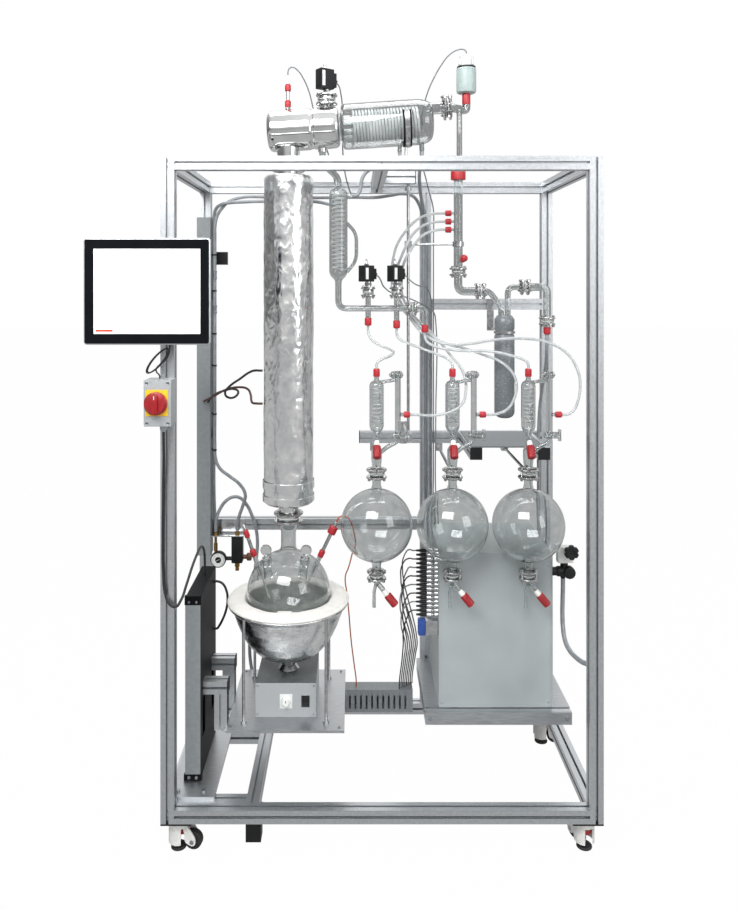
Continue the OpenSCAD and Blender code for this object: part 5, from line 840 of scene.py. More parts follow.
def product_cooler_glass():
    """Jacketed cooler under the head, its bypass tube, and the manifold with tees to the product valves."""
    x, r = COOLER_X, COOLER_R
    path = [(10.5, COOLER_LOW - 28), (12, COOLER_LOW - 14), (r - 6, COOLER_LOW - 3), (r, COOLER_LOW + 10),
            (r, COOLER_TOP - 16), (r - 6, COOLER_TOP - 4), (14, COOLER_TOP), (11, COOLER_TOP + 4)]
    shape = Shape()
    shape.vessel(rounded(path, 7), 2.6, (x, 0, 0), steps=48)
    shape.tube([(x + r - 1, 0, COOLER_TOP - 24), (x + 46, 0, COOLER_TOP - 24)], 6, 4)
    shape.tube([(x, r - 1, COOLER_TOP - 54), (x, 46, COOLER_TOP - 54)], 6, 4)
    inlet = [(x, 0, COOLER_TOP), (x, 0, COOLER_TOP + 34), (SPOUT_X, 0, COOLER_TOP + 84),
             (SPOUT_X, 0, FRAME_TOP + 64)]
    shape.tube(rounded(inlet, 18, 8), 11, 8.5)
    outlet = [(x, 0, COOLER_LOW - 28), (x, 0, MANIFOLD_Z), (MANIFOLD_END - JOINT_GAP / 2, 0, MANIFOLD_Z)]
    shape.tube(rounded(outlet, 28, 10), 10.5, 7.8)
    bypass = [(x + r - 2, 0, COOLER_TOP - 116), (x + 60, 0, COOLER_TOP - 150), (x + 60, 0, COOLER_LOW + 50),
              (x + r - 2, 0, COOLER_LOW + 12)]
    shape.tube(rounded(bypass, 26, 8), 6, 4)
    for valve, stub in zip(VALVE_X, VALVE_STUB_Z):
        shape.tube([(valve, 0, stub), (valve, 0, MANIFOLD_Z - 10)], 9, 6.5)
        shape.tube([(valve, 0, MANIFOLD_Z + 10), (valve, 0, MANIFOLD_Z + 46)], 9, 6.5)
        cup = [(9, 40), (15, 46), (15, 54.8)]
        shape.vessel(rounded(cup, 3), 2.5, (valve, 0, MANIFOLD_Z), steps=32)
    shape.tube([(MANIFOLD_END - 7, 0, MANIFOLD_Z), (MANIFOLD_END + 7, 0, MANIFOLD_Z)], 14.5, 7.5, sides=32)
    last = [(MANIFOLD_END + JOINT_GAP / 2, 0, MANIFOLD_Z), (OUTLET_X, 0, MANIFOLD_Z),
            (OUTLET_X, 0, OUTLET_STUB_Z)]
    shape.tube(rounded(last, 18, 8), 10, 7.5)
    shape.done("product_cooler_glass", [clear_glass], stands_for=("product_cooler",))


# Vacuum side
DOWN_X = COLUMN_X + 565
SENSOR = Vector((COLUMN_X + 592, 0, HEAD_Z + 87))
PORT_Z = (FRAME_TOP - 140, FRAME_TOP - 168, FRAME_TOP - 195)
LINE_Z = FRAME_TOP - 400
TRAP_X = COLUMN_X + 719
TRAP_R = 33.5
TRAP_TOP = FRAME_TOP - 479
TRAP_LOW = FRAME_TOP - 821
TRAP_VALVE_X = COLUMN_X + 861
DOWN_JOINT_Z = LINE_Z + 65
LINE_JOINT_X = DOWN_X + 74
TRAP_LINE_X = TRAP_X + 68
TRAP_LINE_Z = LINE_Z + 14
TRAP_JOINT_Z = TRAP_TOP - 20
# Joints of the glass lines: centre, direction, radius of the clamp's rings
LINE_JOINTS = [((MANIFOLD_END, 0, MANIFOLD_Z), RIGHT, 24), ((LINE_JOINT_X, 0, LINE_Z), RIGHT, 28),
               ((TRAP_LINE_X, 0, TRAP_LINE_Z), RIGHT, 27), ((DOWN_X, 0, DOWN_JOINT_Z), UP, 29),
               ((TRAP_VALVE_X, 0, TRAP_JOINT_Z), UP, 27)]


def vacuum_glass():
    """Elbow behind the condenser, down tube with three ports, and the bends to and from the cold trap."""
    half = JOINT_GAP / 2
    start = OUTLET_JOINT
    knee = start + 34 * HEAD_AXIS
    shape = Shape()
    shape.lathe([(11.5, 0), (30, 0), (31, 1), (31, 5), (30, 6), (15, 6), (15, 8), (11.5, 8)], start,
                HEAD_AXIS, steps=40, loop=True)
    bend = [start + 7 * HEAD_AXIS, (SENSOR.x - 4, 0, SENSOR.z - 6 - 14), SENSOR - Vector((0, 0, 12)), SENSOR]
    shape.tube(rounded(bend, 20, 10), 14, 11, sides=28)
    shape.tube([(DOWN_X + 4, 0, knee.z - 10), (DOWN_X + 4, 0, FRAME_TOP + 1)], 9.5, 7)
    shape.tube([(DOWN_X, 0, DOWN_JOINT_Z + half), (DOWN_X, 0, FRAME_TOP - 29)], 15, 12.5, sides=32)
    for z in PORT_Z:
        shape.tube([(DOWN_X - 14, 0, z), (DOWN_X - 23, 0, z)], 6, 3.5)
    shape.tube([(DOWN_X + 5, -12, FRAME_TOP - 305), (DOWN_X + 10, -24, FRAME_TOP - 298)], 6, 3.5)
    to_trap = [(DOWN_X, 0, DOWN_JOINT_Z - half), (DOWN_X, 0, LINE_Z), (LINE_JOINT_X - half, 0, LINE_Z)]
    shape.tube(rounded(to_trap, 24, 10), 14, 11.5, sides=28)
    into_trap = [(LINE_JOINT_X + half, 0, LINE_Z), (DOWN_X + 104, 0, LINE_Z), (TRAP_X - 11, 0, TRAP_TOP + 26),
                 (TRAP_X - 11, 0, TRAP_TOP)]
    shape.tube(rounded(into_trap, 20, 8), 10, 7.5)
    from_trap = [(TRAP_X + 11, 0, TRAP_TOP), (TRAP_X + 11, 0, TRAP_LINE_Z),
                 (TRAP_LINE_X - half, 0, TRAP_LINE_Z)]
    shape.tube(rounded(from_trap, 24, 10), 10, 7.5)
    to_valve = [(TRAP_LINE_X + half, 0, TRAP_LINE_Z), (TRAP_VALVE_X, 0, TRAP_LINE_Z),
                (TRAP_VALVE_X, 0, TRAP_JOINT_Z + half)]
    shape.tube(rounded(to_valve, 20, 8), 13, 10.5, sides=28)
    shape.tube([(TRAP_VALVE_X, 0, TRAP_JOINT_Z - half), (TRAP_VALVE_X, 0, TRAP_TOP - 40)], 10, 7.5)
    for at, way, ring in LINE_JOINTS[1:]:
        shape.tube([Vector(at) - half * way, Vector(at) + half * way], ring - 9.5, ring - 18, sides=32)
    shape.tube([(TRAP_X - 11, 0, TRAP_TOP - 3), (TRAP_X - 11, 0, TRAP_LOW + 60)], 9, 7)
    shape.done("vacuum_glass", [clear_glass], stands_for=("vacuum_line",))
    trap = Shape()
    path = [(0, TRAP_LOW), *arc((TRAP_R - 22, TRAP_LOW + 22), 22, -90, 0, 8), (TRAP_R, TRAP_TOP - 70),
            (TRAP_R - 4, TRAP_TOP - 62), (TRAP_R - 4, TRAP_TOP - 52), (TRAP_R, TRAP_TOP - 46),
            (TRAP_R, TRAP_TOP - 14), (TRAP_R - 8, TRAP_TOP - 2), (20, TRAP_TOP), (0, TRAP_TOP)]
    trap.vessel(path, 2.5, (TRAP_X, 0, 0), steps=48)
    trap.done("cold_trap", [frosted_glass])


def receiver_cooler(shape, x):
    """Jacketed cooler over the shut-off valve, and the seat of its needle."""
    r = SMALL_COOLER_R
    low, high = SMALL_COOLER_LOW, SMALL_COOLER_TOP
    path = [(23, JOINT_Z + 0.3), (23, JOINT_Z + 8), (15, JOINT_Z + 10), (14, JOINT_Z + 18),
            (17, CUTOFF_Z - 50), (17, CUTOFF_Z - 22), (8, CUTOFF_Z - 8), (7, low - 18), (r - 4, low),
            (r, low + 12), (r, high - 12), (r - 5, high - 2), (8, high + 2), (8, high + 14)]
    shape.vessel(rounded(path, 5, 4), 2.2, in_row(x, 0))
    seat = in_row(x, NEEDLE_Z)
    shape.tube([seat + 6 * CUTOFF_WAY, seat + 28 * CUTOFF_WAY], 9, 6)


def receiver_vent(shape, x):
    """Vent tube beside the cooler, with its two arms, hose port and two stopcocks."""
    high = SMALL_COOLER_TOP
    vent_x = x + VENT_DX
    upper_arm = [in_row(x + 12, high - 4), in_row(vent_x - 20, high + 2), in_row(vent_x - 8, high + 4)]
    shape.tube(rounded(upper_arm, 12), 6, 4)
    lower_arm = [in_row(x + 14, CUTOFF_Z - 30), in_row(x + 36, CUTOFF_Z - 12), in_row(vent_x, CUTOFF_Z + 4),
                 in_row(vent_x, CUTOFF_Z + 20)]
    shape.tube(rounded(lower_arm, 14), 7, 4.8)
    shape.tube([in_row(vent_x, CUTOFF_Z + 22), in_row(vent_x, high + 32)], 9.5, 7.3, sides=28)
    shape.tube([in_row(vent_x + 8, VENT_PORT_Z), in_row(vent_x + 19, VENT_PORT_Z)], 6, 4)
    for start, wide, z in ((vent_x - 22, 36, high + 20), (vent_x - 16, 46, CUTOFF_Z + 24)):
        barrel = [(9, 0), (11, 3), (11, wide - 3), (9, wide)]
        shape.vessel(rounded(barrel, 2), 3, in_row(start, z), RIGHT, steps=28)
        shape.tube([in_row(start - 4, z), in_row(start + wide + 3, z)], 5.5, sides=20)
    shape.tube([in_row(vent_x + 32, CUTOFF_Z + 6), in_row(vent_x + 32, CUTOFF_Z + 42)], 5.5)
    shape.tube([in_row(vent_x - 24, high + 20), in_row(vent_x - 23, high + 20) + 26 * FRONT], 5)


def receiver_flask(shape, x):
    """Round flask, and the outlet valve's body and bent tip below it."""
    low = BOTTOM_JOINT_Z
    start = math.degrees(math.acos(14 / FLASK_R))
    ball = arc((0, FLASK_Z), FLASK_R, -start + 2, start - 2, 44)
    path = [(20, low + 0.3), (20, low + 7), (14, low + 10), (14, low + 30), *ball, (14, JOINT_Z - 34),
            (14, JOINT_Z - 13), (23, JOINT_Z - 9), (23, JOINT_Z - 0.3)]
    shape.vessel(path, GLASS_WALL, in_row(x, 0), steps=80)
    body = [(6, low - 34), (8, low - 30), (13, low - 12), (20, low - 8), (20, low - 0.5)]
    shape.vessel(rounded(body, 4), 3, in_row(x, 0), steps=32)
    way_out = in_row(x, OUTLET_NEEDLE_Z)
    shape.tube([way_out + 6 * OUTLET_WAY, way_out + 33 * OUTLET_WAY], 8, 5)
    tip = [in_row(x, low - 28), in_row(x - 8, low - 50), in_row(x - 8, low - 104)]
    shape.tube(rounded(tip, 12), 5.5, 3.5)


def receiver_glass():
    """The glass of the three receivers."""
    shape = Shape()
    for x in RECEIVER_X:
        receiver_cooler(shape, x)
        receiver_vent(shape, x)
        receiver_flask(shape, x)
    shape.done("receiver_glass", [clear_glass],
               stands_for=("receiver_coolers", "receiver_flasks"))


# Caps, clamps and grips
def screw_cap(shape, at, way, radius, height, hole=0.0, slot=0):
    """Ribbed cap that is turned over the end of a tube, its open side at the start."""
    profile = [(radius - 2.2, 0), (radius - 0.6, 0.6), (radius, 1.8), (radius, height - 4),
               (radius - 0.4, height - 2.6), (radius - 2.4, height), (max(hole, 0.0), height)]
    shape.lathe(profile, at, way, steps=64, ribs=0.55, slot=slot)


def red_caps():
    """All red screw caps, on the lines, the ports and the probes."""
    shape = Shape()
    for valve, stub in zip(VALVE_X, VALVE_STUB_Z):
        screw_cap(shape, (valve, 0, stub), DOWN, 11.5, 26, 4.5)
    screw_cap(shape, (OUTLET_X, 0, OUTLET_STUB_Z), DOWN, 11.5, 26, 4.5)
    for z in PORT_Z:
        screw_cap(shape, (DOWN_X - 23, 0, z), -RIGHT, 10, 20, 4.5)
    screw_cap(shape, (DOWN_X, 0, FRAME_TOP - 29), UP, 25, 30, 9.5)
    ball_way = Vector((10, -24, 14)).normalized()
    ball_at = Vector((DOWN_X + 10, -24, FRAME_TOP - 298))
    neck = [(8.4, 0), (9, 1), (9, 6), (7, 8)]
    shape.lathe(neck + arc((0, 15), 12, -35, 90, 12), ball_at, ball_way, steps=36)
    screw_cap(shape, SENSOR, UP, 14, 36, 9)
    screw_cap(shape, (TRAP_VALVE_X, 0, TRAP_TOP - 40), DOWN, 12, 24, 6)
    for x in RECEIVER_X:
        screw_cap(shape, in_row(x, SMALL_COOLER_TOP + 14), UP, 10.5, 26, 4.5)
        screw_cap(shape, in_row(x + VENT_DX + 19, VENT_PORT_Z), RIGHT, 10, 20, 4.5)
    for z in (9, 62):
        screw_cap(shape, (HEAD_PROBE_X, 0, HEAD_Z + HEAD_R + z), UP, 10, 22, 3)
    for (base, way, length, _), cap, wide in zip(BOILER_NECKS[2:], PROBE_CAPS, (9, 14)):
        tip = base + length * way
        screw_cap(shape, tip, way, 10, 24, 3)
        screw_cap(shape, tip + cap * way, way, wide, 26, 3)
    shape.done("red_screw_caps", [red_cap], stands_for=("screw_caps",))


def probes():
    """Thermometer rods of boiler and head: white, with steel sleeves between the caps."""
    shape = Shape()
    for (base, way, length, _), cap, end in zip(BOILER_NECKS[2:], PROBE_CAPS, PROBE_TOPS):
        tip = base + length * way
        shape.lathe([(0, -80), (1.6, -79), (3, -74), (3, length + end), (0, length + end)], base, way,
                    steps=16)
        shape.lathe([(4.2, 24.5), (6, 26), (6, cap - 2), (4.2, cap - 0.5)], tip, way, steps=20, slot=1)
        shape.lathe([(4, cap + 26), (5.5, cap + 27), (5.5, end - 6), (4, end - 1)], tip, way, steps=20,
                    slot=1)
    head = (HEAD_PROBE_X, 0, HEAD_Z + HEAD_R)
    shape.lathe([(0, -HEAD_R - 40), (3, -HEAD_R - 36), (3, 96), (0, 96)], head, steps=16)
    shape.lathe([(4.2, 31.5), (6, 33), (6, 60), (4.2, 61.5)], head, steps=20, slot=1)
    shape.lathe([(5, 84.5), (8, 86), (8, 108), (5, 114.5)], head, steps=24)
    shape.done("temperature_probe_rods", [white_ptfe, stainless],
               stands_for=("temperature_probes",))


def ring_clamp(shape, at, way, radius, gap, bolt):
    """Two cast rings that three bolts press on a pair of flanges, and the white seal between."""
    ring = 7.0
    turn = facing(way)
    for side in (-1, 1):
        base = Vector(at) + side * (gap / 2) * way
        hoop = [(radius - 13, 0), (radius - 1, 0), (radius, 1.2), (radius, ring - 2.5), (radius - 2.5, ring),
                (radius - 10, ring), (radius - 13, ring - 2)]
        shape.lathe(hoop, base, side * way, steps=48, loop=True)
    shape.lathe([(radius - 12, -0.8), (radius - 8.6, -0.8), (radius - 8.6, 0.8), (radius - 12, 0.8)], at,
                way, steps=40, slot=1, loop=True)
    for k in range(3):
        a = math.radians(90 + 120 * k)
        spot = Vector(at) + turn @ Vector(((radius - 5.4) * math.cos(a), (radius - 5.4) * math.sin(a), 0))
        reach = gap / 2 + ring
        thread = []
        for i in range(int((2 * reach + 11) / 1.5)):
            h = -reach - 5.5 + 1.5 * i
            thread += [(bolt, h), (bolt - 0.35, h + 0.75)]
        shape.lathe(thread, spot, way, steps=12)
        for side in (-1, 1):
            nut = [(bolt + 0.5, 0), (bolt + 2.3, 0.3), (bolt + 2.5, 1.1), (bolt + 2.5, 3.8),
                   (bolt + 1.6, 4.8), (0, 4.8)]
            shape.lathe(nut, spot + side * reach * way, side * way, steps=6)
            dome = [(bolt, 4.8), (bolt, 5.6), (bolt - 1, 6.3), (0, 6.4)]
            shape.lathe(dome, spot + side * reach * way, side * way, steps=12)


def joint_clamps():
    """Every clamp on the glass joints, from the boiler's neck to the receivers' outlets."""
    shape = Shape()
    ring_clamp(shape, (COLUMN_X, 0, NECK_TOP), UP, 49, 20, 3)
    ring_clamp(shape, (COLUMN_X, 0, FRAME_TOP + 12), UP, 55, 14, 3)
    ring_clamp(shape, OUTLET_JOINT, HEAD_AXIS, 42, 12, 3)
    ring_clamp(shape, (HEAD_VALVE_X, 0, HEAD_Z + 103), UP, 36, 22, 3)
    for x in VALVE_X:
        ring_clamp(shape, (x, 0, MANIFOLD_Z + 55), UP, 24, 18, 2.5)
    for x in RECEIVER_X:
        ring_clamp(shape, in_row(x, JOINT_Z), UP, 33, 18, 2.5)
        ring_clamp(shape, in_row(x, BOTTOM_JOINT_Z), UP, 31, 16, 2.5)
    for at, way, radius in LINE_JOINTS:
        ring_clamp(shape, at, way, radius, JOINT_GAP, 2.5)
    shape.done("joint_clamp_rings", [cast_steel, white_ptfe], stands_for=("joint_clamps",))


def needle_grip(node, at, way):
    """Fluted red grip on a white collar, turned to open a needle valve."""
    collar = [(5, 0), (7.4, 0.4), (8, 3), (8.2, 9), (9, 10), (9, 18)]
    grip = [(8.6, 18), (11, 18.4), (12.4, 20), (12.9, 25), (12.9, 56), (12.2, 58.6), (10, 60), (4, 60),
            (3, 58.6), (0, 58.4)]
    shape = Shape()
    shape.lathe(collar, at, way, steps=32, slot=1)
    shape.lathe(grip, at, way, steps=48, ribs=1.3)
    shape.done(f"{node}_grip", [red_grip, white_ptfe], body=node, stands_for=(node,))


def needle_grips():
    """Shut-off and outlet grips of the three receivers."""
    for i, x in enumerate(RECEIVER_X):
        seat = in_row(x, NEEDLE_Z)
        needle_grip(f"cutoff_knob_{i + 1}", seat + 28.3 * CUTOFF_WAY, CUTOFF_WAY)
        outlet = in_row(x, OUTLET_NEEDLE_Z)
        needle_grip(f"outlet_knob_{i + 1}", outlet + 34.3 * OUTLET_WAY, OUTLET_WAY)


def coil_valve(shape, at, wide, flange, flange_h):
    """Solenoid valve: flanged steel body, black coil box with plain plates, cable plug, stem nut on top."""
    x, y, z = at
    before = set(shape.mesh.verts)
    rim = flange_h - 34
    body = [(flange, -34), (flange, rim - 1), (flange - 1, rim), (10, rim + 1), (10, 0)]
    shape.lathe(rounded(body, 1.5, 3), at, UP, steps=32)
    shape.lathe([(12, -12), (13, -11), (13, -5), (12, -4)], at, UP, steps=6)
    left, right, top = x - wide / 2, x + wide / 2, z + wide
    seam = z + wide * 0.3
    shape.block((left, y - 18, z), (right - 14, y + 18, top), 2.2, slot=1)
    shape.block((left + 5, y - 18.6, z + 8), (left + 16, y - 17.5, top - 8), 0.4, slot=2)
    shape.block((left + 3, y - 16, seam), (right - 17, y + 16, seam + 1.2), 0.3, slot=1)
    shape.block((right - 14.4, y - 14, z + 5), (right - 13.4, y + 14, top - 5), 0.3, slot=3)
    shape.block((right - 14, y - 12, z + 8), (right, y + 12, top - 10), 2.5, slot=1)
    gland = (right - 3, y, z + (wide - 2) / 2)
    shape.lathe([(5.2, 0), (5.2, 3), (4.2, 9), (3.2, 12), (2.6, 12)], gland, RIGHT, steps=20, slot=1)
    stem = (x - 7, y, top)
    shape.lathe([(5, 0), (5, 14), (4.4, 15), (3, 15.4), (3, 21), (2, 22), (0, 22)], stem, UP, steps=20)
    shape.lathe([(8, 0), (8.4, 0.6), (8.4, 4.6), (7.6, 5.4), (0, 5.4)], stem, UP, steps=6)
    made = [v for v in shape.mesh.verts if v not in before]
    bmesh.ops.rotate(shape.mesh, verts=made, cent=at, matrix=Matrix.Rotation(math.radians(35), 3, "Z"))


def coil_valves():
    """The two product valves and the one on the head."""
    shape = Shape()
    for x in VALVE_X:
        coil_valve(shape, (x, 0, MANIFOLD_Z + 89), 54, 15, 9)
    coil_valve(shape, (HEAD_VALVE_X, 0, HEAD_Z + 137), 66, 25, 11)
    shape.done("coil_valves", [stainless, black_nylon, white_ptfe, slate_plate],
               stands_for=("solenoid_valves",))


def transmitter():
    """Pressure gauge head: enamelled can with a black rim, white plug with its gland, two steel posts."""
    low, high = corners("pressure_transmitter")
    x = (low.x + high.x) / 2
    z = low.z
    shape = Shape()
    can = [(0, 0), (25, 0), (31, 3), (33, 9), (33, 74), (32.4, 74.6), (32.4, 76), (33, 76.6), (33, 79),
           (30.5, 83.5), (0, 84)]
    shape.lathe(can, (x, 0, z), UP, steps=64)
    rim = [(27, 83.5), (31.2, 83.8), (31.2, 88.6), (30, 90), (27, 90), (26.4, 88.4), (0, 88)]
    shape.lathe(rim, (x, 0, z), UP, steps=64, slot=1)
    plug = [(12, 88), (17, 90), (17, 116), (15.6, 119), (9, 120), (9, 128), (7, 130), (3, 130)]
    shape.lathe(plug, (x, 0, z), UP, steps=40, slot=2)
    for side in (-1, 1):
        shape.lathe([(2.6, 88), (2.6, 120), (1.6, 123), (0, 123)], (x + side * 21, 0, z), UP, steps=14,
                    slot=3)
        shape.lathe([(4.4, 92), (4.4, 98)], (x + side * 21, 0, z), UP, steps=6, slot=3)
    shape.done("pressure_gauge_head", [green_grey, black_nylon, white_ptfe, stainless],
               stands_for=("pressure_transmitter",))


# Heating mantle, which rides on the lift
RING_Z = PLATFORM_Z + 325
BOWL_STEPS = 200


def mantle_shell():
    """Spun bowl whose wrinkled skirt flares out to the ring on the four rods, and the lined cup inside."""
    base = PLATFORM_Z + 151
    rim = RING_Z - base
    outer = [(20, 0), (60, 0), (100, 13), (127, 38), (150, 72), (168, rim - 62), (180, rim - 28),
             (187, rim - 9), (199, rim + 0.5), (199, rim + 5.5), (192, rim + 6)]
    angles = [math.tau * j / BOWL_STEPS for j in range(BOWL_STEPS)]
    rows = []
    for r, h in rounded(outer, 12, 12):
        row = []
        skin = 1.0 if 24 < r < 188 else 0.0
        for a in angles:
            spot = Vector((r * math.cos(a), r * math.sin(a), h * 1.7))
            dent = 1.5 * crumple(spot, 70) + 0.7 * crumple(spot, 26)
            q = r + skin * (min(dent, 0.8) - 0.9)
            row.append((COLUMN_X + q * math.cos(a), q * math.sin(a), base + h))
        rows.append(row)
    shape = Shape()
    shape.skin(rows)
    cup = arc((0, BOILER_Z - base), 141.4, -8, -90, 24)
    cup_rows = []
    for r, h in [(192, rim + 6), (141.5, rim + 6), *cup]:
        cup_rows.append([(COLUMN_X + r * math.cos(a), r * math.sin(a), base + h) for a in angles])
    shape.skin(cup_rows, slot=1)
    shape.done("mantle_shell", [spun, cup_lining], body="mantle_lift",
               stands_for=("mantle_bowl",), crease=60)


def mantle_cloth():
    """Quilted glass-cloth collar that fills the gap between ring and flask, puckered along its outer seam."""
    low = RING_Z + 6
    steps = 240
    path = [(139.5, 4), (139.5, 7), (143, 13.5), (150, 16), (172, 17), (190, 13.5), (200, 9), (202, 5),
            (200.5, 1.5), (197, 0.2), (150, 0.2)]
    rows = []
    for r, h in rounded(path, 5, 4):
        row = []
        for j in range(steps):
            a = math.tau * j / steps
            spot = Vector((r * math.cos(a), r * math.sin(a), h))
            lump = noise.noise(spot / 46) + 0.5 * noise.noise(spot / 17)
            pucker = 0.7 * math.sin(34 * a + 2 * noise.noise(spot / 60)) * max(0.0, 1 - abs(r - 196) / 10)
            lift = (1.7 * lump + pucker) if h > 6 else 0.0
            row.append((COLUMN_X + spot.x, spot.y, low + h + lift))
        rows.append(row)
    shape = Shape()
    shape.skin(rows, loop=True)
    piece = shape.done("mantle_cloth_collar", [glass_cloth], body="mantle_lift",
                       stands_for=("mantle_rim",), crease=80)
    seam = Shape()
    stitches = 90
    for k in range(stitches):
        a = math.tau * k / stitches
        b = a + math.tau / stitches * 0.55
        z = low + 12.4 + 0.8 * math.sin(5 * a)
        ends = [(COLUMN_X + 192.5 * math.cos(t), 192.5 * math.sin(t), z + 1.4) for t in (a, (a + b) / 2, b)]
        seam.tube(ends, 0.8, sides=6)
    tab_z = low + 14
    seam.block((COLUMN_X - 24, -166, tab_z - 3), (COLUMN_X + 22, -141, tab_z + 5), 2.0)
    seam.done("mantle_stitches_and_tab", [glass_cloth], body="mantle_lift")


def mantle_controls():
    """White dial plate with a pointer knob, and a black rocker in its bezel."""
    low, high = corners("mantle_box")
    face = low.y
    dial_x, rocker_x, z = COLUMN_X + 1, COLUMN_X + 63, PLATFORM_Z + 50
    plate = Shape()
    plate.block((dial_x - 20, face - 0.8, z - 23), (dial_x + 20, face + 0.2, z + 23), 0.3)
    for k in range(28):
        a = math.radians(-225 + 270 * k / 27)
        tall = 3.4 if k % 3 == 0 else 1.8
        way = Vector((-math.cos(a), 0, math.sin(a)))
        spot = Vector((dial_x, face - 0.7, z)) + 16.4 * way
        plate.tube([spot, spot - tall * 0.6 * way], 0.3, sides=6, slot=1)
    bezel = ((-13, 13, -18, -15.2), (-13, 13, 15.2, 18), (-13, -10.7, -16, 16), (10.7, 13, -16, 16))
    for x0, x1, z0, z1 in bezel:
        plate.block((rocker_x + x0, face - 1.6, z + z0), (rocker_x + x1, face + 0.2, z + z1), 0.4, slot=1)
    for sx in (low.x + 7, high.x - 7):
        for sz in (low.z + 8, high.z - 8):
            plate.lathe([(3.4, 0), (3.2, 1.2), (2, 2.1), (0, 2.3)], (sx, face, sz), FRONT, steps=20, slot=2)
    plate.done("mantle_control_plate", [white_ptfe, black_nylon, zinc], body="mantle_lift")
    knob = Shape()
    edge = face - 0.9
    knob.lathe([(15, 0.0), (15, 3.6), (14, 5), (11.4, 5.4), (11, 6.4), (10.4, 13), (9.4, 14), (0, 14)],
               (dial_x, edge, z), FRONT, steps=60, ribs=0.5)
    knob.block((dial_x - 1, edge - 14.6, z + 1), (dial_x + 1, edge - 13.6, z + 9), 0.2, slot=1)
    knob.done("mantle_dial_knob", [white_ptfe, black_nylon], body="mantle_dial",
              stands_for=("mantle_dial",))
    rocker = Shape()
    outline = [(-3.4, -14.3), (-4.6, -4), (-6.4, 11.6), (-5.2, 13.6), (-2.5, 14.4), (4, 13), (6, 0), (4, -13)]
    rocker.prism(outline, (rocker_x - 9.8, face + 3, z), RIGHT, 19.6)
    rocker.done("mantle_rocker_cap", [black_nylon], body="mantle_rocker",
                stands_for=("mantle_rocker",))


# Display, isolator and services
def rounded_plate(wide, tall, corner, steps=6):
    """Outline of a plate with round corners, about its centre."""
    points = []
    for k, (sx, sy) in enumerate(((1, 1), (-1, 1), (-1, -1), (1, -1))):
        centre = (sx * (wide / 2 - corner), sy * (tall / 2 - corner))
        points += arc(centre, corner, 90 * k, 90 * k + 90, steps)
    return points


def touch_screen():
    """Panel display: silver rim, flush black glass, lit white screen with two pale lines and a red bar."""
    low, high = corners("touch_display")
    x, z = (low.x + high.x) / 2, (low.z + high.z) / 2
    wide, tall = high.x - low.x, high.z - low.z
    front = low.y
    shape = Shape()
    rim = rounded_plate(wide, tall, 9)
    shape.prism(rim, (x, front + 16, z), FRONT, 11)
    inner = rounded_plate(wide - 3, tall - 3, 8)
    edge = rounded_plate(wide - 0.8, tall - 0.8, 8.8)
    rows = [[Vector((x + p[0], y, z + p[1])) for p in outline] for y, outline in
            ((front + 5, rim), (front + 3.4, edge), (front + 2.6, inner))]
    shape.skin(rows, lids=True)
    glass = rounded_plate(wide - 7, tall - 7, 6)
    shape.prism(glass, (x, front + 3, z), FRONT, 2.6, slot=1)
    back_w, back_h = wide / 2 - 30, tall / 2 - 30
    shape.block((x - back_w, front + 15, z - back_h), (x + back_w, front + 40, z + back_h), 4, slot=4)
    for k in range(9):
        vent = z - 48 + 12 * k
        shape.block((x - 60, front + 39.6, vent), (x + 60, front + 40.4, vent + 4), 0.3, slot=1)
    post_x = FRAME_LEFT + PROFILE / 2
    pivot_y = FRAME_FRONT - 25
    shape.block((post_x - 11, front + 39, z - 11), (post_x + 11, pivot_y + 10, z + 11), 2, slot=4)
    shape.lathe([(0, -24), (5, -24), (6, -23), (6, 23), (5, 24), (0, 24)], (post_x, pivot_y, z), RIGHT,
                steps=28)
    left, right = x - wide / 2 + 29, x + wide / 2 - 28
    foot, head = z - tall / 2 + 31, z + tall / 2 - 31
    face = front + 0.4
    shape.block((left, face - 0.35, foot), (right, face + 0.3, head), 0.1, slot=2)
    shape.block((left + 6, face - 0.45, foot + 6), (left + 54, face - 0.3, foot + 12), 0.05, slot=3)
    for line, end in ((head - 12, 120), (head - 19, 90)):
        shape.block((left + 6, face - 0.45, line), (left + end, face - 0.3, line + 1.4), 0.05, slot=5)
    shape.done("touch_screen", [anodised, cover_glass, screen_white, screen_red, black_coat, screen_grey],
               body="display", stands_for=("touch_display",))


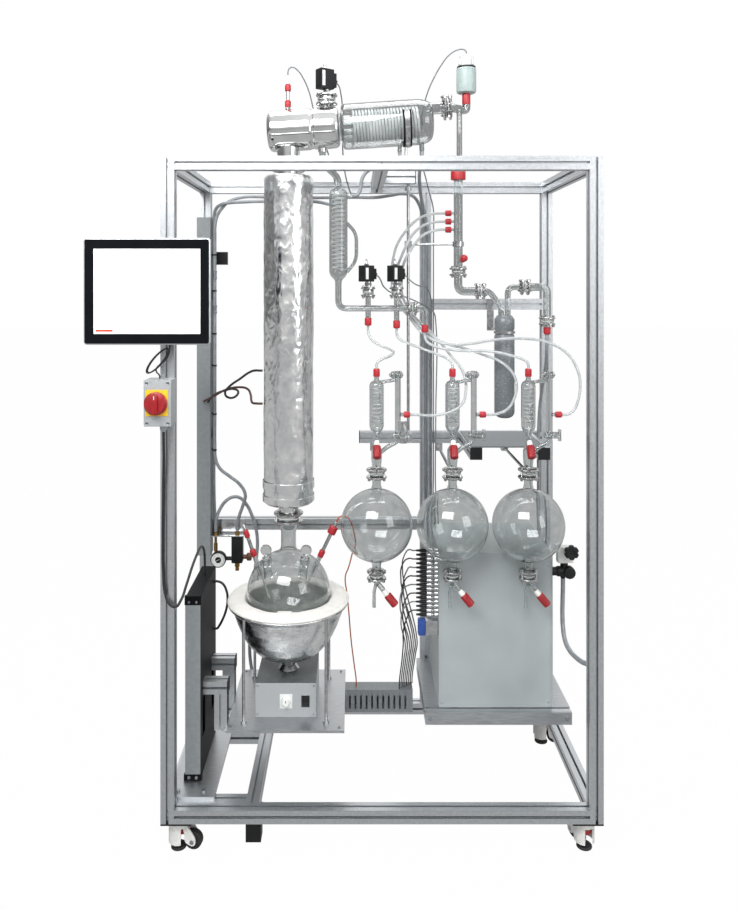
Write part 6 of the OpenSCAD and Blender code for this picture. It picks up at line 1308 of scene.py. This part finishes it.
def isolator():
    """Mains isolator: grey box with a screwed lid, yellow plate, cable gland below."""
    x, z = FRAME_LEFT + 8, FRAME_TOP - 716
    wide, tall, deep = 78, 132, 71
    front = FRAME_FRONT - deep
    box = Shape()
    half_w, half_h = wide / 2, tall / 2
    lid_w, lid_h = half_w + 0.6, half_h + 0.6
    box.block((x - half_w, front + 20, z - half_h), (x + half_w, FRAME_FRONT, z + half_h), 4)
    box.block((x - lid_w, front, z - lid_h), (x + lid_w, front + 19.2, z + lid_h), 4)
    for sx in (-1, 1):
        for sz in (-1, 1):
            spot = Vector((x + sx * (half_w - 9), front, z + sz * (half_h - 9)))
            box.lathe([(5, -0.5), (5, 0.3), (4.4, 0.5), (3.6, 0.1), (0, 0)], spot, FRONT, steps=20, slot=2)
            box.block(spot - Vector((3.2, 0.7, 0.5)), spot + Vector((3.2, 0.3, 0.5)), 0.1, slot=3)
    box.block((x - 33, front - 2, z - 36), (x + 31, front + 0.4, z + 39), 0.7, slot=1)
    gland = [(12, 0), (12, 4), (10.5, 5), (10.5, 13), (9, 16), (5, 20), (3, 20)]
    box.lathe(gland, (x + 10, FRAME_FRONT - 36, z - tall / 2), DOWN, steps=24)
    box.done("isolator_box", [pale_pvc, yellow_plate, zinc, black_nylon],
             stands_for=("switch_box",))
    knob = Shape()
    face = front - 2.3
    disc = [(0, 0), (32, 0), (33, 1), (33, 8), (31.6, 9.4), (30, 10), (26.6, 16), (24, 17), (0, 17)]
    knob.lathe(disc, (x - 3, face, z), FRONT, steps=72)
    knob.block((x - 12, face - 26, z - 27), (x + 6, face - 9, z + 27), 3.5)
    knob.lathe([(0, 0), (8, 0), (8, 13.5), (0, 13.5)], (x - 3, face, z), -FRONT, steps=24)
    knob.block((x - 4.2, face - 26.5, z + 14), (x - 1.8, face - 25.6, z + 24), 0.2, slot=1)
    knob.done("isolator_grip", [red_grip, white_ptfe], body="main_switch",
              stands_for=("switch_knob",))


def regulator():
    """Air regulator on its bracket with a round gauge, brass unions and a drain."""
    x, y, z = COLUMN_X - 206, FRAME_BACK - 80, FRAME_BASE + 623
    back = FRAME_BACK - PROFILE
    bracket_top = FRAME_BASE + 720
    shape = Shape()
    shape.block((x - 94, back - 4, z + 50), (x + 24, back, bracket_top), 0.8, slot=3)
    shape.block((x - 94, y - 22, z + 50), (x + 24, back - 2, z + 53), 0.8, slot=3)
    shape.block((x - 20, y - 12, z - 50), (x + 20, back - 12, z + 50), 4, slot=1)
    shape.block((x - 16, y - 14, z - 8), (x + 16, y - 11, z + 34), 1.2, slot=1)
    shape.lathe([(7, 0), (7, 21)], (x - 19.5, y + 4, z - 36), -RIGHT, steps=20, slot=1)
    case = [(0, -24), (26, -24), (28, -22), (28, -2), (27.4, 0), (25.4, 0.6), (24.6, -1)]
    gauge = (x - 67, y - 16, z - 36)
    shape.lathe(case, gauge, FRONT, steps=56, slot=1)
    shape.lathe([(0, -1.2), (24.4, -1.2), (24.4, -0.6), (0, -0.6)], gauge, FRONT, steps=48, slot=2)
    shape.lathe([(0, -0.7), (11, -0.7), (11, -0.3), (0, -0.3)], gauge, FRONT, steps=40, slot=1)
    for k in range(25):
        a = math.radians(-225 + 270 * k / 24)
        long = 5 if k % 4 == 0 else 2.6
        way = Vector((math.cos(-a), 0, math.sin(-a)))
        spot = Vector(gauge) + 22 * way - 0.5 * FRONT
        shape.tube([spot, spot - long * way], 0.4, sides=6, slot=1)
    needle = Vector((math.cos(math.radians(205)), 0, math.sin(math.radians(205))))
    middle = Vector(gauge) + 0.1 * FRONT
    shape.tube([middle - 6 * needle, middle + 18 * needle], 0.7, sides=6, slot=2)
    shape.lathe([(2.6, -1.4), (2.6, 0.4), (0, 0.6)], gauge, FRONT, steps=16, slot=1)
    unions = [((x, y - 1, z + 53), UP, 8, 12), ((x - 78, y, z - 9), UP, 7, 59),
              ((x - 78, y, z + 53), UP, 7, 10), ((x - 84, y + 23, z + 53), UP, 7, 10),
              ((x, y, z - 50), DOWN, 9, 28)]
    for at, way, r, h in unions:
        shape.lathe([(r - 1, 0), (r, 0.8), (r, h * 0.5), (r - 0.8, h * 0.5 + 0.6)], at, way, steps=6)
        shape.lathe([(r - 2, h * 0.5), (r - 2, h), (r - 3, h)], at, way, steps=24)
    shape.done("air_regulator", [brass, black_nylon, white_ptfe, stainless],
               stands_for=("pressure_regulator",))
    knob = Shape()
    knob.lathe([(6, 0), (8, 0.3), (8, 13.5), (12, 14.4), (14, 17), (14, 28), (12.6, 31), (9, 32), (0, 31.6)],
               (x + 20.3, y + 4, z - 30), RIGHT, steps=40, ribs=0.9)
    knob.done("regulator_grip", [brown_phenolic], body="regulator_knob",
              stands_for=("regulator_knob",))


def water_tap():
    """Cooling water tap on the cabinet: black coupling with hose tail, white block, lobed grip in front."""
    x, y, z = cabinet_high.x, 20, 716
    drain_z = 526
    shape = Shape()
    body = [(12, 0), (17, 0.6), (17, 14), (14, 16), (14, 34), (17, 36), (17, 74), (15, 79), (0, 80)]
    shape.lathe(rounded(body, 1.5, 3), (x, y, z), RIGHT, steps=40)
    shape.lathe([(10, 10), (10, 16), (8.6, 17), (8.6, 20), (7.4, 23), (5, 23)], (x + 56, y, z), DOWN,
                steps=32)
    shape.lathe([(13, 10), (13, 31)], (x + 60, y, z), UP, steps=6)
    shape.lathe([(20, 0), (20, 20), (18.6, 23), (15, 24), (0, 24)], (x + 74, y, z), FRONT, steps=44, ribs=0.6)
    shape.block((x + 36, y - 16, z + 31), (x + 88, y + 16, z + 84), 3, slot=1)
    shape.block((x + 39, y - 16.4, z + 34), (x + 60, y - 15, z + 81), 0.5, slot=1)
    post = Vector((FRAME_RIGHT - PROFILE / 2, FRAME_FRONT + PROFILE, drain_z))
    shape.lathe([(12, 0), (12, 4), (9, 5), (9, 12), (7.4, 14), (5, 14)], post, -FRONT, steps=28)
    shape.done("water_tap", [black_nylon, white_ptfe], stands_for=("water_valve",))
    grip = Shape()
    seat = Vector((x + 76, y - 16.3, z + 73))
    rows = []
    steps = 96
    profile = [(0.3, 10), (0.92, 10), (1.0, 12), (1.0, 22), (0.93, 24.4), (0.5, 25), (0.42, 23.6),
               (0.3, 23.4)]
    for q, h in profile:
        row = []
        for j in range(steps):
            a = math.tau * j / steps
            lobe = 24 - 4.4 * max(0.0, math.cos(6 * a)) ** 1.5
            row.append(seat + Vector((q * lobe * math.cos(a), -h, q * lobe * math.sin(a))))
        rows.append(row)
    grip.skin(rows, lids=True)
    grip.lathe([(7, 0), (8, 0.6), (8, 10.5)], seat, FRONT, steps=28)
    grip.done("lobed_grip", [black_nylon], body="star_knob", stands_for=("star_knob",))


def cable_plugs():
    """Sixteen round plugs in a column on the cabinet's side, and one blue multipole plug below."""
    left = cabinet_low.x
    shape = Shape()
    for k in range(PLUG_ROWS):
        z = PLUG_Z + PLUG_PITCH * k
        nut = [(4, 0), (5.5, 0.5), (5.5, 8), (4.6, 9), (4.6, 15), (5.4, 16), (5.4, 30), (4.6, 31), (4.6, 38)]
        shape.lathe(nut, (left, PLUG_Y, z), -RIGHT, steps=24, ribs=0.25)
        boot = [(5, 37.5), (6.2, 38.5), (6.2, 54), (5.4, 55)]
        for ridge in range(4):
            r, h = 4.6 - 0.4 * ridge, 56 + 4 * ridge
            boot += [(r, h), (r, h + 2.4), (3.4, h + 3)]
        boot += [(2.6, 72)]
        shape.lathe(boot, (left, PLUG_Y, z), -RIGHT, steps=24, slot=1)
    low = PLUG_Z - 62
    shape.block((left - 42, PLUG_Y - 14, low), (left, PLUG_Y + 16, low + 46), 2)
    shape.block((left - 30, PLUG_Y - 15, low + 6), (left - 12, PLUG_Y + 17, low + 12), 0.6)
    shape.block((left - 66, PLUG_Y - 11, low - 4), (left - 42, PLUG_Y + 13, low + 48), 3, slot=2)
    for k in range(5):
        rib = low + 3 + 9 * k
        shape.block((left - 67, PLUG_Y - 8, rib), (left - 65, PLUG_Y + 10, rib + 3), 0.4, slot=2)
    shape.done("cable_plugs", [stainless, black_nylon, blue_plastic],
               stands_for=("cable_connectors",))


# Casters
CASTER_TURNS = {"fl": -10, "fr": 110, "rl": 20, "rr": -5}
WHEEL_TRAIL = 47.0
AXLE_Z = 29.0


def caster(key):
    """Levelling caster: housing open on two sides, red thumbwheel inside, rubber foot, wheel on a fork."""
    sx = -1 if key.endswith("l") else 1
    sy = -1 if key.startswith("f") else 1
    centre = Vector((sx * (FRAME_RIGHT - 45), sy * (FRAME_BACK - 45), 0))
    turn = Matrix.Rotation(math.radians(CASTER_TURNS[key]), 3, "Z")
    trail = turn @ RIGHT
    axle_way = turn @ -FRONT
    pin = centre + WHEEL_TRAIL * trail + AXLE_Z * UP
    shape = Shape()
    crown = [(26, 66), (29.5, 67), (30.6, 72), (31.6, 77), (32, 80), (32, 87.5), (30.5, 89.4), (8, 89.4),
             (8, 76), (24, 72)]
    shape.lathe(rounded(crown, 3, 4), centre, UP, steps=64, loop=True)
    for start, end in ((58, 150), (210, 302)):
        outer, inner = [], []
        for z in (19, 21, 30, 44, 56, 68):
            pull = 2.5 if z < 20 else 0
            for ring, r in ((outer, 30 - pull), (inner, 25.4)):
                bow = arc((0, 0), r, start, end, 14)
                ring.append([centre + turn @ Vector((x, y, z)) for x, y in bow])
        ribbon = [near + far[::-1] for near, far in zip(outer, inner)]
        shape.skin(ribbon, lids=True)
    for side in (-1, 1):
        cheek = [(14, 84), (30, 80), (WHEEL_TRAIL + 10, AXLE_Z + 12), (WHEEL_TRAIL + 12, AXLE_Z - 4),
                 (WHEEL_TRAIL + 4, AXLE_Z - 13), (WHEEL_TRAIL - 10, AXLE_Z - 9), (26, 26), (22, 58), (14, 84)]
        outline = rounded(cheek, 9, 5)[:-1]
        mid = Vector((34, 50))
        rows = []
        for inset, depth in ((1.2, 0.0), (0.0, 1.2), (0.0, 4.8), (1.2, 6.0)):
            offset = side * (13 + depth)
            row = []
            for spot in outline:
                drawn = spot + inset * (mid - spot).normalized()
                row.append(centre + drawn.x * trail + offset * axle_way + drawn.y * UP)
            rows.append(row)
        shape.skin(rows, lids=True)
        cap = pin + side * 19 * axle_way
        shape.lathe([(6.5, -0.5), (6.5, 0.6), (4.2, 1.4), (0, 1.5)], cap, side * axle_way, steps=24, slot=1)
    shape.tube([pin - 20 * axle_way, pin + 20 * axle_way], 4, sides=16, slot=1)
    shape.lathe([(0, 0.2), (22, 0.2), (23, 1.4), (23, 5), (20, 8), (9, 9.2), (0, 9.2)], centre, UP,
                steps=48, slot=3)
    shape.lathe([(6, 9), (6, 76)], centre, UP, steps=20, slot=1)
    shape.lathe([(8, 46), (20, 46), (21, 47.5), (21, 58.5), (20, 60), (8, 60)], centre, UP, steps=60,
                ribs=1.0, slot=2)
    shape.done(f"caster_housing_{key}", [ivory_nylon, zinc, red_grip, tyre_rubber],
               body=f"caster_{key}", stands_for=(f"caster_fork_{key}",))
    wheel = Shape()
    tread = [(4.2, 0), (9, 0), (10, 1.6), (19, 1.6), (20, 0.2), (24, 0.2), (26.4, 2), (27, 5), (27, 17),
             (26.4, 20), (24, 21.8), (20, 21.8), (19, 20.4), (10, 20.4), (9, 22), (4.2, 22)]
    wheel.lathe(tread, pin - 11 * axle_way, axle_way, steps=56, loop=True)
    wheel.done(f"caster_tyre_{key}", [tyre_rubber], body=f"wheel_{key}",
               stands_for=(f"caster_wheel_{key}",))


# Small fittings that the CAD leaves out
def socket_screw(shape, at, way, radius, slot=0):
    """Cap screw with a hexagon socket."""
    head = [(radius, 0), (radius, radius * 0.9), (radius * 0.86, radius * 1.1), (radius * 0.6, radius * 1.1),
            (radius * 0.55, radius * 0.5), (0, radius * 0.5)]
    shape.lathe(head, at, way, steps=18, slot=slot)


def small_fittings():
    """Cap screws of lift, platform and cabinet, and the ties and sleeves on the two risers at the back."""
    risers = ((-585, 232), (-592, 252))
    shape = Shape()
    low, high = corners("lift_column")
    for dx in (12, 35):
        socket_screw(shape, (low.x + 4 + dx, low.y + 2, low.z + 10), FRONT, 5)
        socket_screw(shape, (low.x + 4 + dx, low.y + 2.2, high.z - 18), FRONT, 4)
    for sx in (platform_low.x + 16, platform_high.x - 16):
        for sy in (platform_low.y + 16, platform_high.y - 16):
            socket_screw(shape, (sx, sy, platform_high.z), UP, 3.4)
    ties = Shape()
    for z in (1785, 1655, 1500, 1385, 1210, 1080):
        for x, y in risers:
            ties.lathe([(6.1, -2.5), (7.2, -2.5), (7.2, 2.5), (6.1, 2.5)], (x, y, z), UP, steps=24, loop=True)
            ties.block((x - 3, y - 10.5, z - 3), (x + 3, y - 5.8, z + 3), 0.8)
    ties.done("cable_ties", [black_nylon])
    sleeve = [(6.1, -15), (8, -15), (8, -9), (7, -8), (7, 8), (8, 9), (8, 15), (6.1, 15)]
    for (x, y), heights in zip(risers, ((1712, 1588), (1640, 1140))):
        for z in heights:
            shape.lathe(sleeve, (x, y, z), UP, steps=28, loop=True)
    for sx in (cabinet_low.x + 12, cabinet_high.x - 12):
        for sz in (cabinet_low.z + 14, cabinet_high.z - 40):
            shape.lathe([(3.6, 0), (3.4, 1.3), (2, 2.3), (0, 2.5)], (sx, cabinet_low.y + 2, sz), FRONT,
                        steps=20)
    shape.done("cap_screws", [zinc])


# Finishes of the CAD pieces that stay
def paint(node, finishes, choose=None):
    """Gives a CAD node its finishes; choose picks one by a face's centre and normal, in millimetres."""
    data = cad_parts[node].data
    data.materials.clear()
    for made in finishes:
        data.materials.append(made)
    for face in data.polygons:
        face.material_index = choose(face.center / MM, face.normal) if choose else 0


def lift_finish(spot, normal):
    """0 black housing and end plates, 1 grey cover in front, 2 bright guides."""
    low, high = corners("lift_column")
    cover_back = low.y + 13.9
    cover_low, cover_high = low.z + 18.2, high.z - 28.5
    if spot.y < cover_back and spot.z > cover_high:
        return 0
    if spot.y < cover_back and spot.z > cover_low:
        return 1
    inside = low.x + 9 < spot.x < high.x - 9 and low.y + 20 < spot.y < high.y - 8
    return 2 if inside and low.z + 5 < spot.z < high.z - 10 else 0


def carriage_finish(spot, normal):
    """Black caps end the arms."""
    return 1 if spot.x > platform_low.x - 0.2 else 0


def box_finish(spot, normal):
    """The top is darker than the sides: painted shade under the bowl."""
    return 1 if normal.z > 0.9 else 0


def shelf_finish(spot, normal):
    """The upper shelf, under the cold trap, is rougher and painted darker as shade."""
    between_shelves = 1000
    return 1 if spot.z > between_shelves else 0


def strap_finish(spot, normal):
    """Rubber under the steel band round the condenser, steel elsewhere."""
    band_inside = CONDENSER_R + 3.5
    off = spot - head_at(0)
    from_axis = (off - off.dot(HEAD_AXIS) * HEAD_AXIS).length
    return 1 if from_axis < band_inside and spot.z > FRAME_TOP + 40 else 0


def finish_frame():
    """Finishes of every CAD node that shows."""
    single = {"frame_posts": anodised, "frame_rails": anodised, "frame_fittings": black_nylon,
              "frame_bolts": zinc, "lift_base": milled_plate, "mantle_platform": milled_plate,
              "mantle_stand": stainless, "column_tube": silvered, "column_packing": wire_packing,
              "control_cabinet": cabinet_paint, "cable_ducts": grey_pvc, "display_bracket": black_coat}
    for node, made in single.items():
        paint(node, [made])
    paint("lift_column", [black_coat, grey_pvc, milled_plate], lift_finish)
    paint("lift_carriage", [anodised, black_nylon], carriage_finish)
    # Painted shade: the box's top takes a darker copy of its paint
    paint("mantle_box", [grey_enamel, box_top_painted_shade], box_finish)
    # Painted shade: the upper shelf takes the darker plate
    paint("shelf_plates", [milled_plate, plate_painted_shade], shelf_finish)
    paint("support_rods", [stainless, strap_rubber], strap_finish)


foil_jacket()
mirror_head()
condenser_glass()
cooling_coils()
boiler_glass()
product_cooler_glass()
vacuum_glass()
receiver_glass()
red_caps()
probes()
joint_clamps()
needle_grips()
coil_valves()
transmitter()
mantle_shell()
mantle_cloth()
mantle_controls()
touch_screen()
isolator()
regulator()
water_tap()
cable_plugs()
for caster_key in CASTER_TURNS:
    caster(caster_key)
small_fittings()
finish_frame()


# Light, floor and camera
def studio():
    """White to the eye, grey through glass, and in reflections a room: bright above, dark low and left."""
    world = bpy.data.worlds.new("white_studio")
    bpy.context.scene.world = world
    world.use_nodes = True
    tree = world.node_tree
    tree.nodes.clear()
    path = add(tree, "ShaderNodeLightPath")
    way = add(tree, "ShaderNodeTexCoord").outputs["Generated"]
    split = add(tree, "ShaderNodeSeparateXYZ", {"Vector": way})
    fades = []
    for axis, start, end, dark, bright in (("Z", -0.06, 0.26, 0.42, 1.05), ("X", -0.9, -0.25, 0.3, 1.0)):
        fade = add(tree, "ShaderNodeMapRange", {"Value": split.outputs[axis]},
                   {"From Min": start, "From Max": end, "To Min": dark, "To Max": bright},
                   interpolation_type="SMOOTHSTEP")
        fades.append(fade.outputs["Result"])
    room = add(tree, "ShaderNodeMath", {0: fades[0], 1: fades[1]}, operation="MULTIPLY")
    ambient = 0.5
    behind_glass = 0.3
    level = add(tree, "ShaderNodeMix", {"Factor": path.outputs["Is Glossy Ray"], "B": room.outputs[0]},
                {"A": ambient})
    for ray, strength in (("Is Transmission Ray", behind_glass), ("Is Camera Ray", 1.0)):
        level = add(tree, "ShaderNodeMix", {"Factor": path.outputs[ray], "A": level.outputs[0]},
                    {"B": strength})
    light = add(tree, "ShaderNodeBackground", {"Strength": level.outputs[0]}, {"Color": (1, 1, 1, 1)})
    add(tree, "ShaderNodeOutputWorld", {"Surface": light.outputs[0]})


def floor():
    """Pale floor that reads white to the eye, with a trace of the unit's shadow, and grey through glass."""
    reach = 30000
    white_share = 0.99
    shape = bmesh.new()
    signs = ((-1, -1), (1, -1), (1, 1), (-1, 1))
    spots = [shape.verts.new((x * reach * MM, y * reach * MM, 0)) for x, y in signs]
    shape.faces.new(spots)
    data = bpy.data.meshes.new("studio_floor")
    shape.to_mesh(data)
    shape.free()
    made = bpy.data.materials.new("pale_floor")
    made.use_nodes = True
    tree = made.node_tree
    tree.nodes.clear()
    path = add(tree, "ShaderNodeLightPath")
    share = add(tree, "ShaderNodeMath", {0: path.outputs["Is Camera Ray"]}, {1: white_share},
                operation="MULTIPLY")
    seen = add(tree, "ShaderNodeBsdfDiffuse", None, {"Color": srgb("#c9c9c9")})
    rays = ((path.outputs["Is Glossy Ray"], 0.55), (path.outputs["Is Transmission Ray"], 0.46),
            (share.outputs[0], 1.0))
    for ray, strength in rays:
        glow = add(tree, "ShaderNodeEmission", None, {"Color": (1, 1, 1, 1), "Strength": strength})
        seen = add(tree, "ShaderNodeMixShader", {0: ray, 1: seen.outputs[0], 2: glow.outputs[0]})
    add(tree, "ShaderNodeOutputMaterial", {"Surface": seen.outputs[0]})
    data.materials.append(made)
    piece = bpy.data.objects.new("studio_floor", data)
    bpy.context.scene.collection.objects.link(piece)


def softbox(name, at, aim, wide, tall, power):
    """Rectangular lamp at a place, turned to another."""
    lamp = bpy.data.lights.new(name, "AREA")
    lamp.shape = "RECTANGLE"
    lamp.size = wide * MM
    lamp.size_y = tall * MM
    lamp.energy = power
    piece = bpy.data.objects.new(name, lamp)
    piece.location = Vector(at) * MM
    piece.rotation_euler = (Vector(aim) - Vector(at)).to_track_quat("-Z", "Y").to_euler()
    bpy.context.scene.collection.objects.link(piece)


def camera():
    """Level camera at eye height, placed by the photograph's vanishing point."""
    image_w, image_h = 737, 909
    focal_px = 813
    centre_px = (353.4, 285)
    lens = bpy.data.cameras.new("photo_camera")
    lens.sensor_width = 36
    lens.lens = lens.sensor_width * focal_px / image_h
    lens.shift_x = (image_w / 2 - centre_px[0]) / image_h
    lens.shift_y = (centre_px[1] - image_h / 2) / image_h
    piece = bpy.data.objects.new("photo_camera", lens)
    piece.location = Vector((-84, -2708, 1676)) * MM
    piece.rotation_euler = (math.pi / 2, 0, 0)
    bpy.context.scene.collection.objects.link(piece)
    bpy.context.scene.camera = piece


studio()
floor()
softbox("key_softbox", (-900, -2300, 3300), (-100, 0, 1300), 2200, 1400, 100)
softbox("fill_softbox", (2500, -2600, 2300), (0, 0, 1200), 1500, 2000, 40)
softbox("top_softbox", (0, 600, 4300), (0, 0, 1200), 2600, 1600, 60)
camera()
bpy.context.scene.view_settings.view_transform = "Standard"
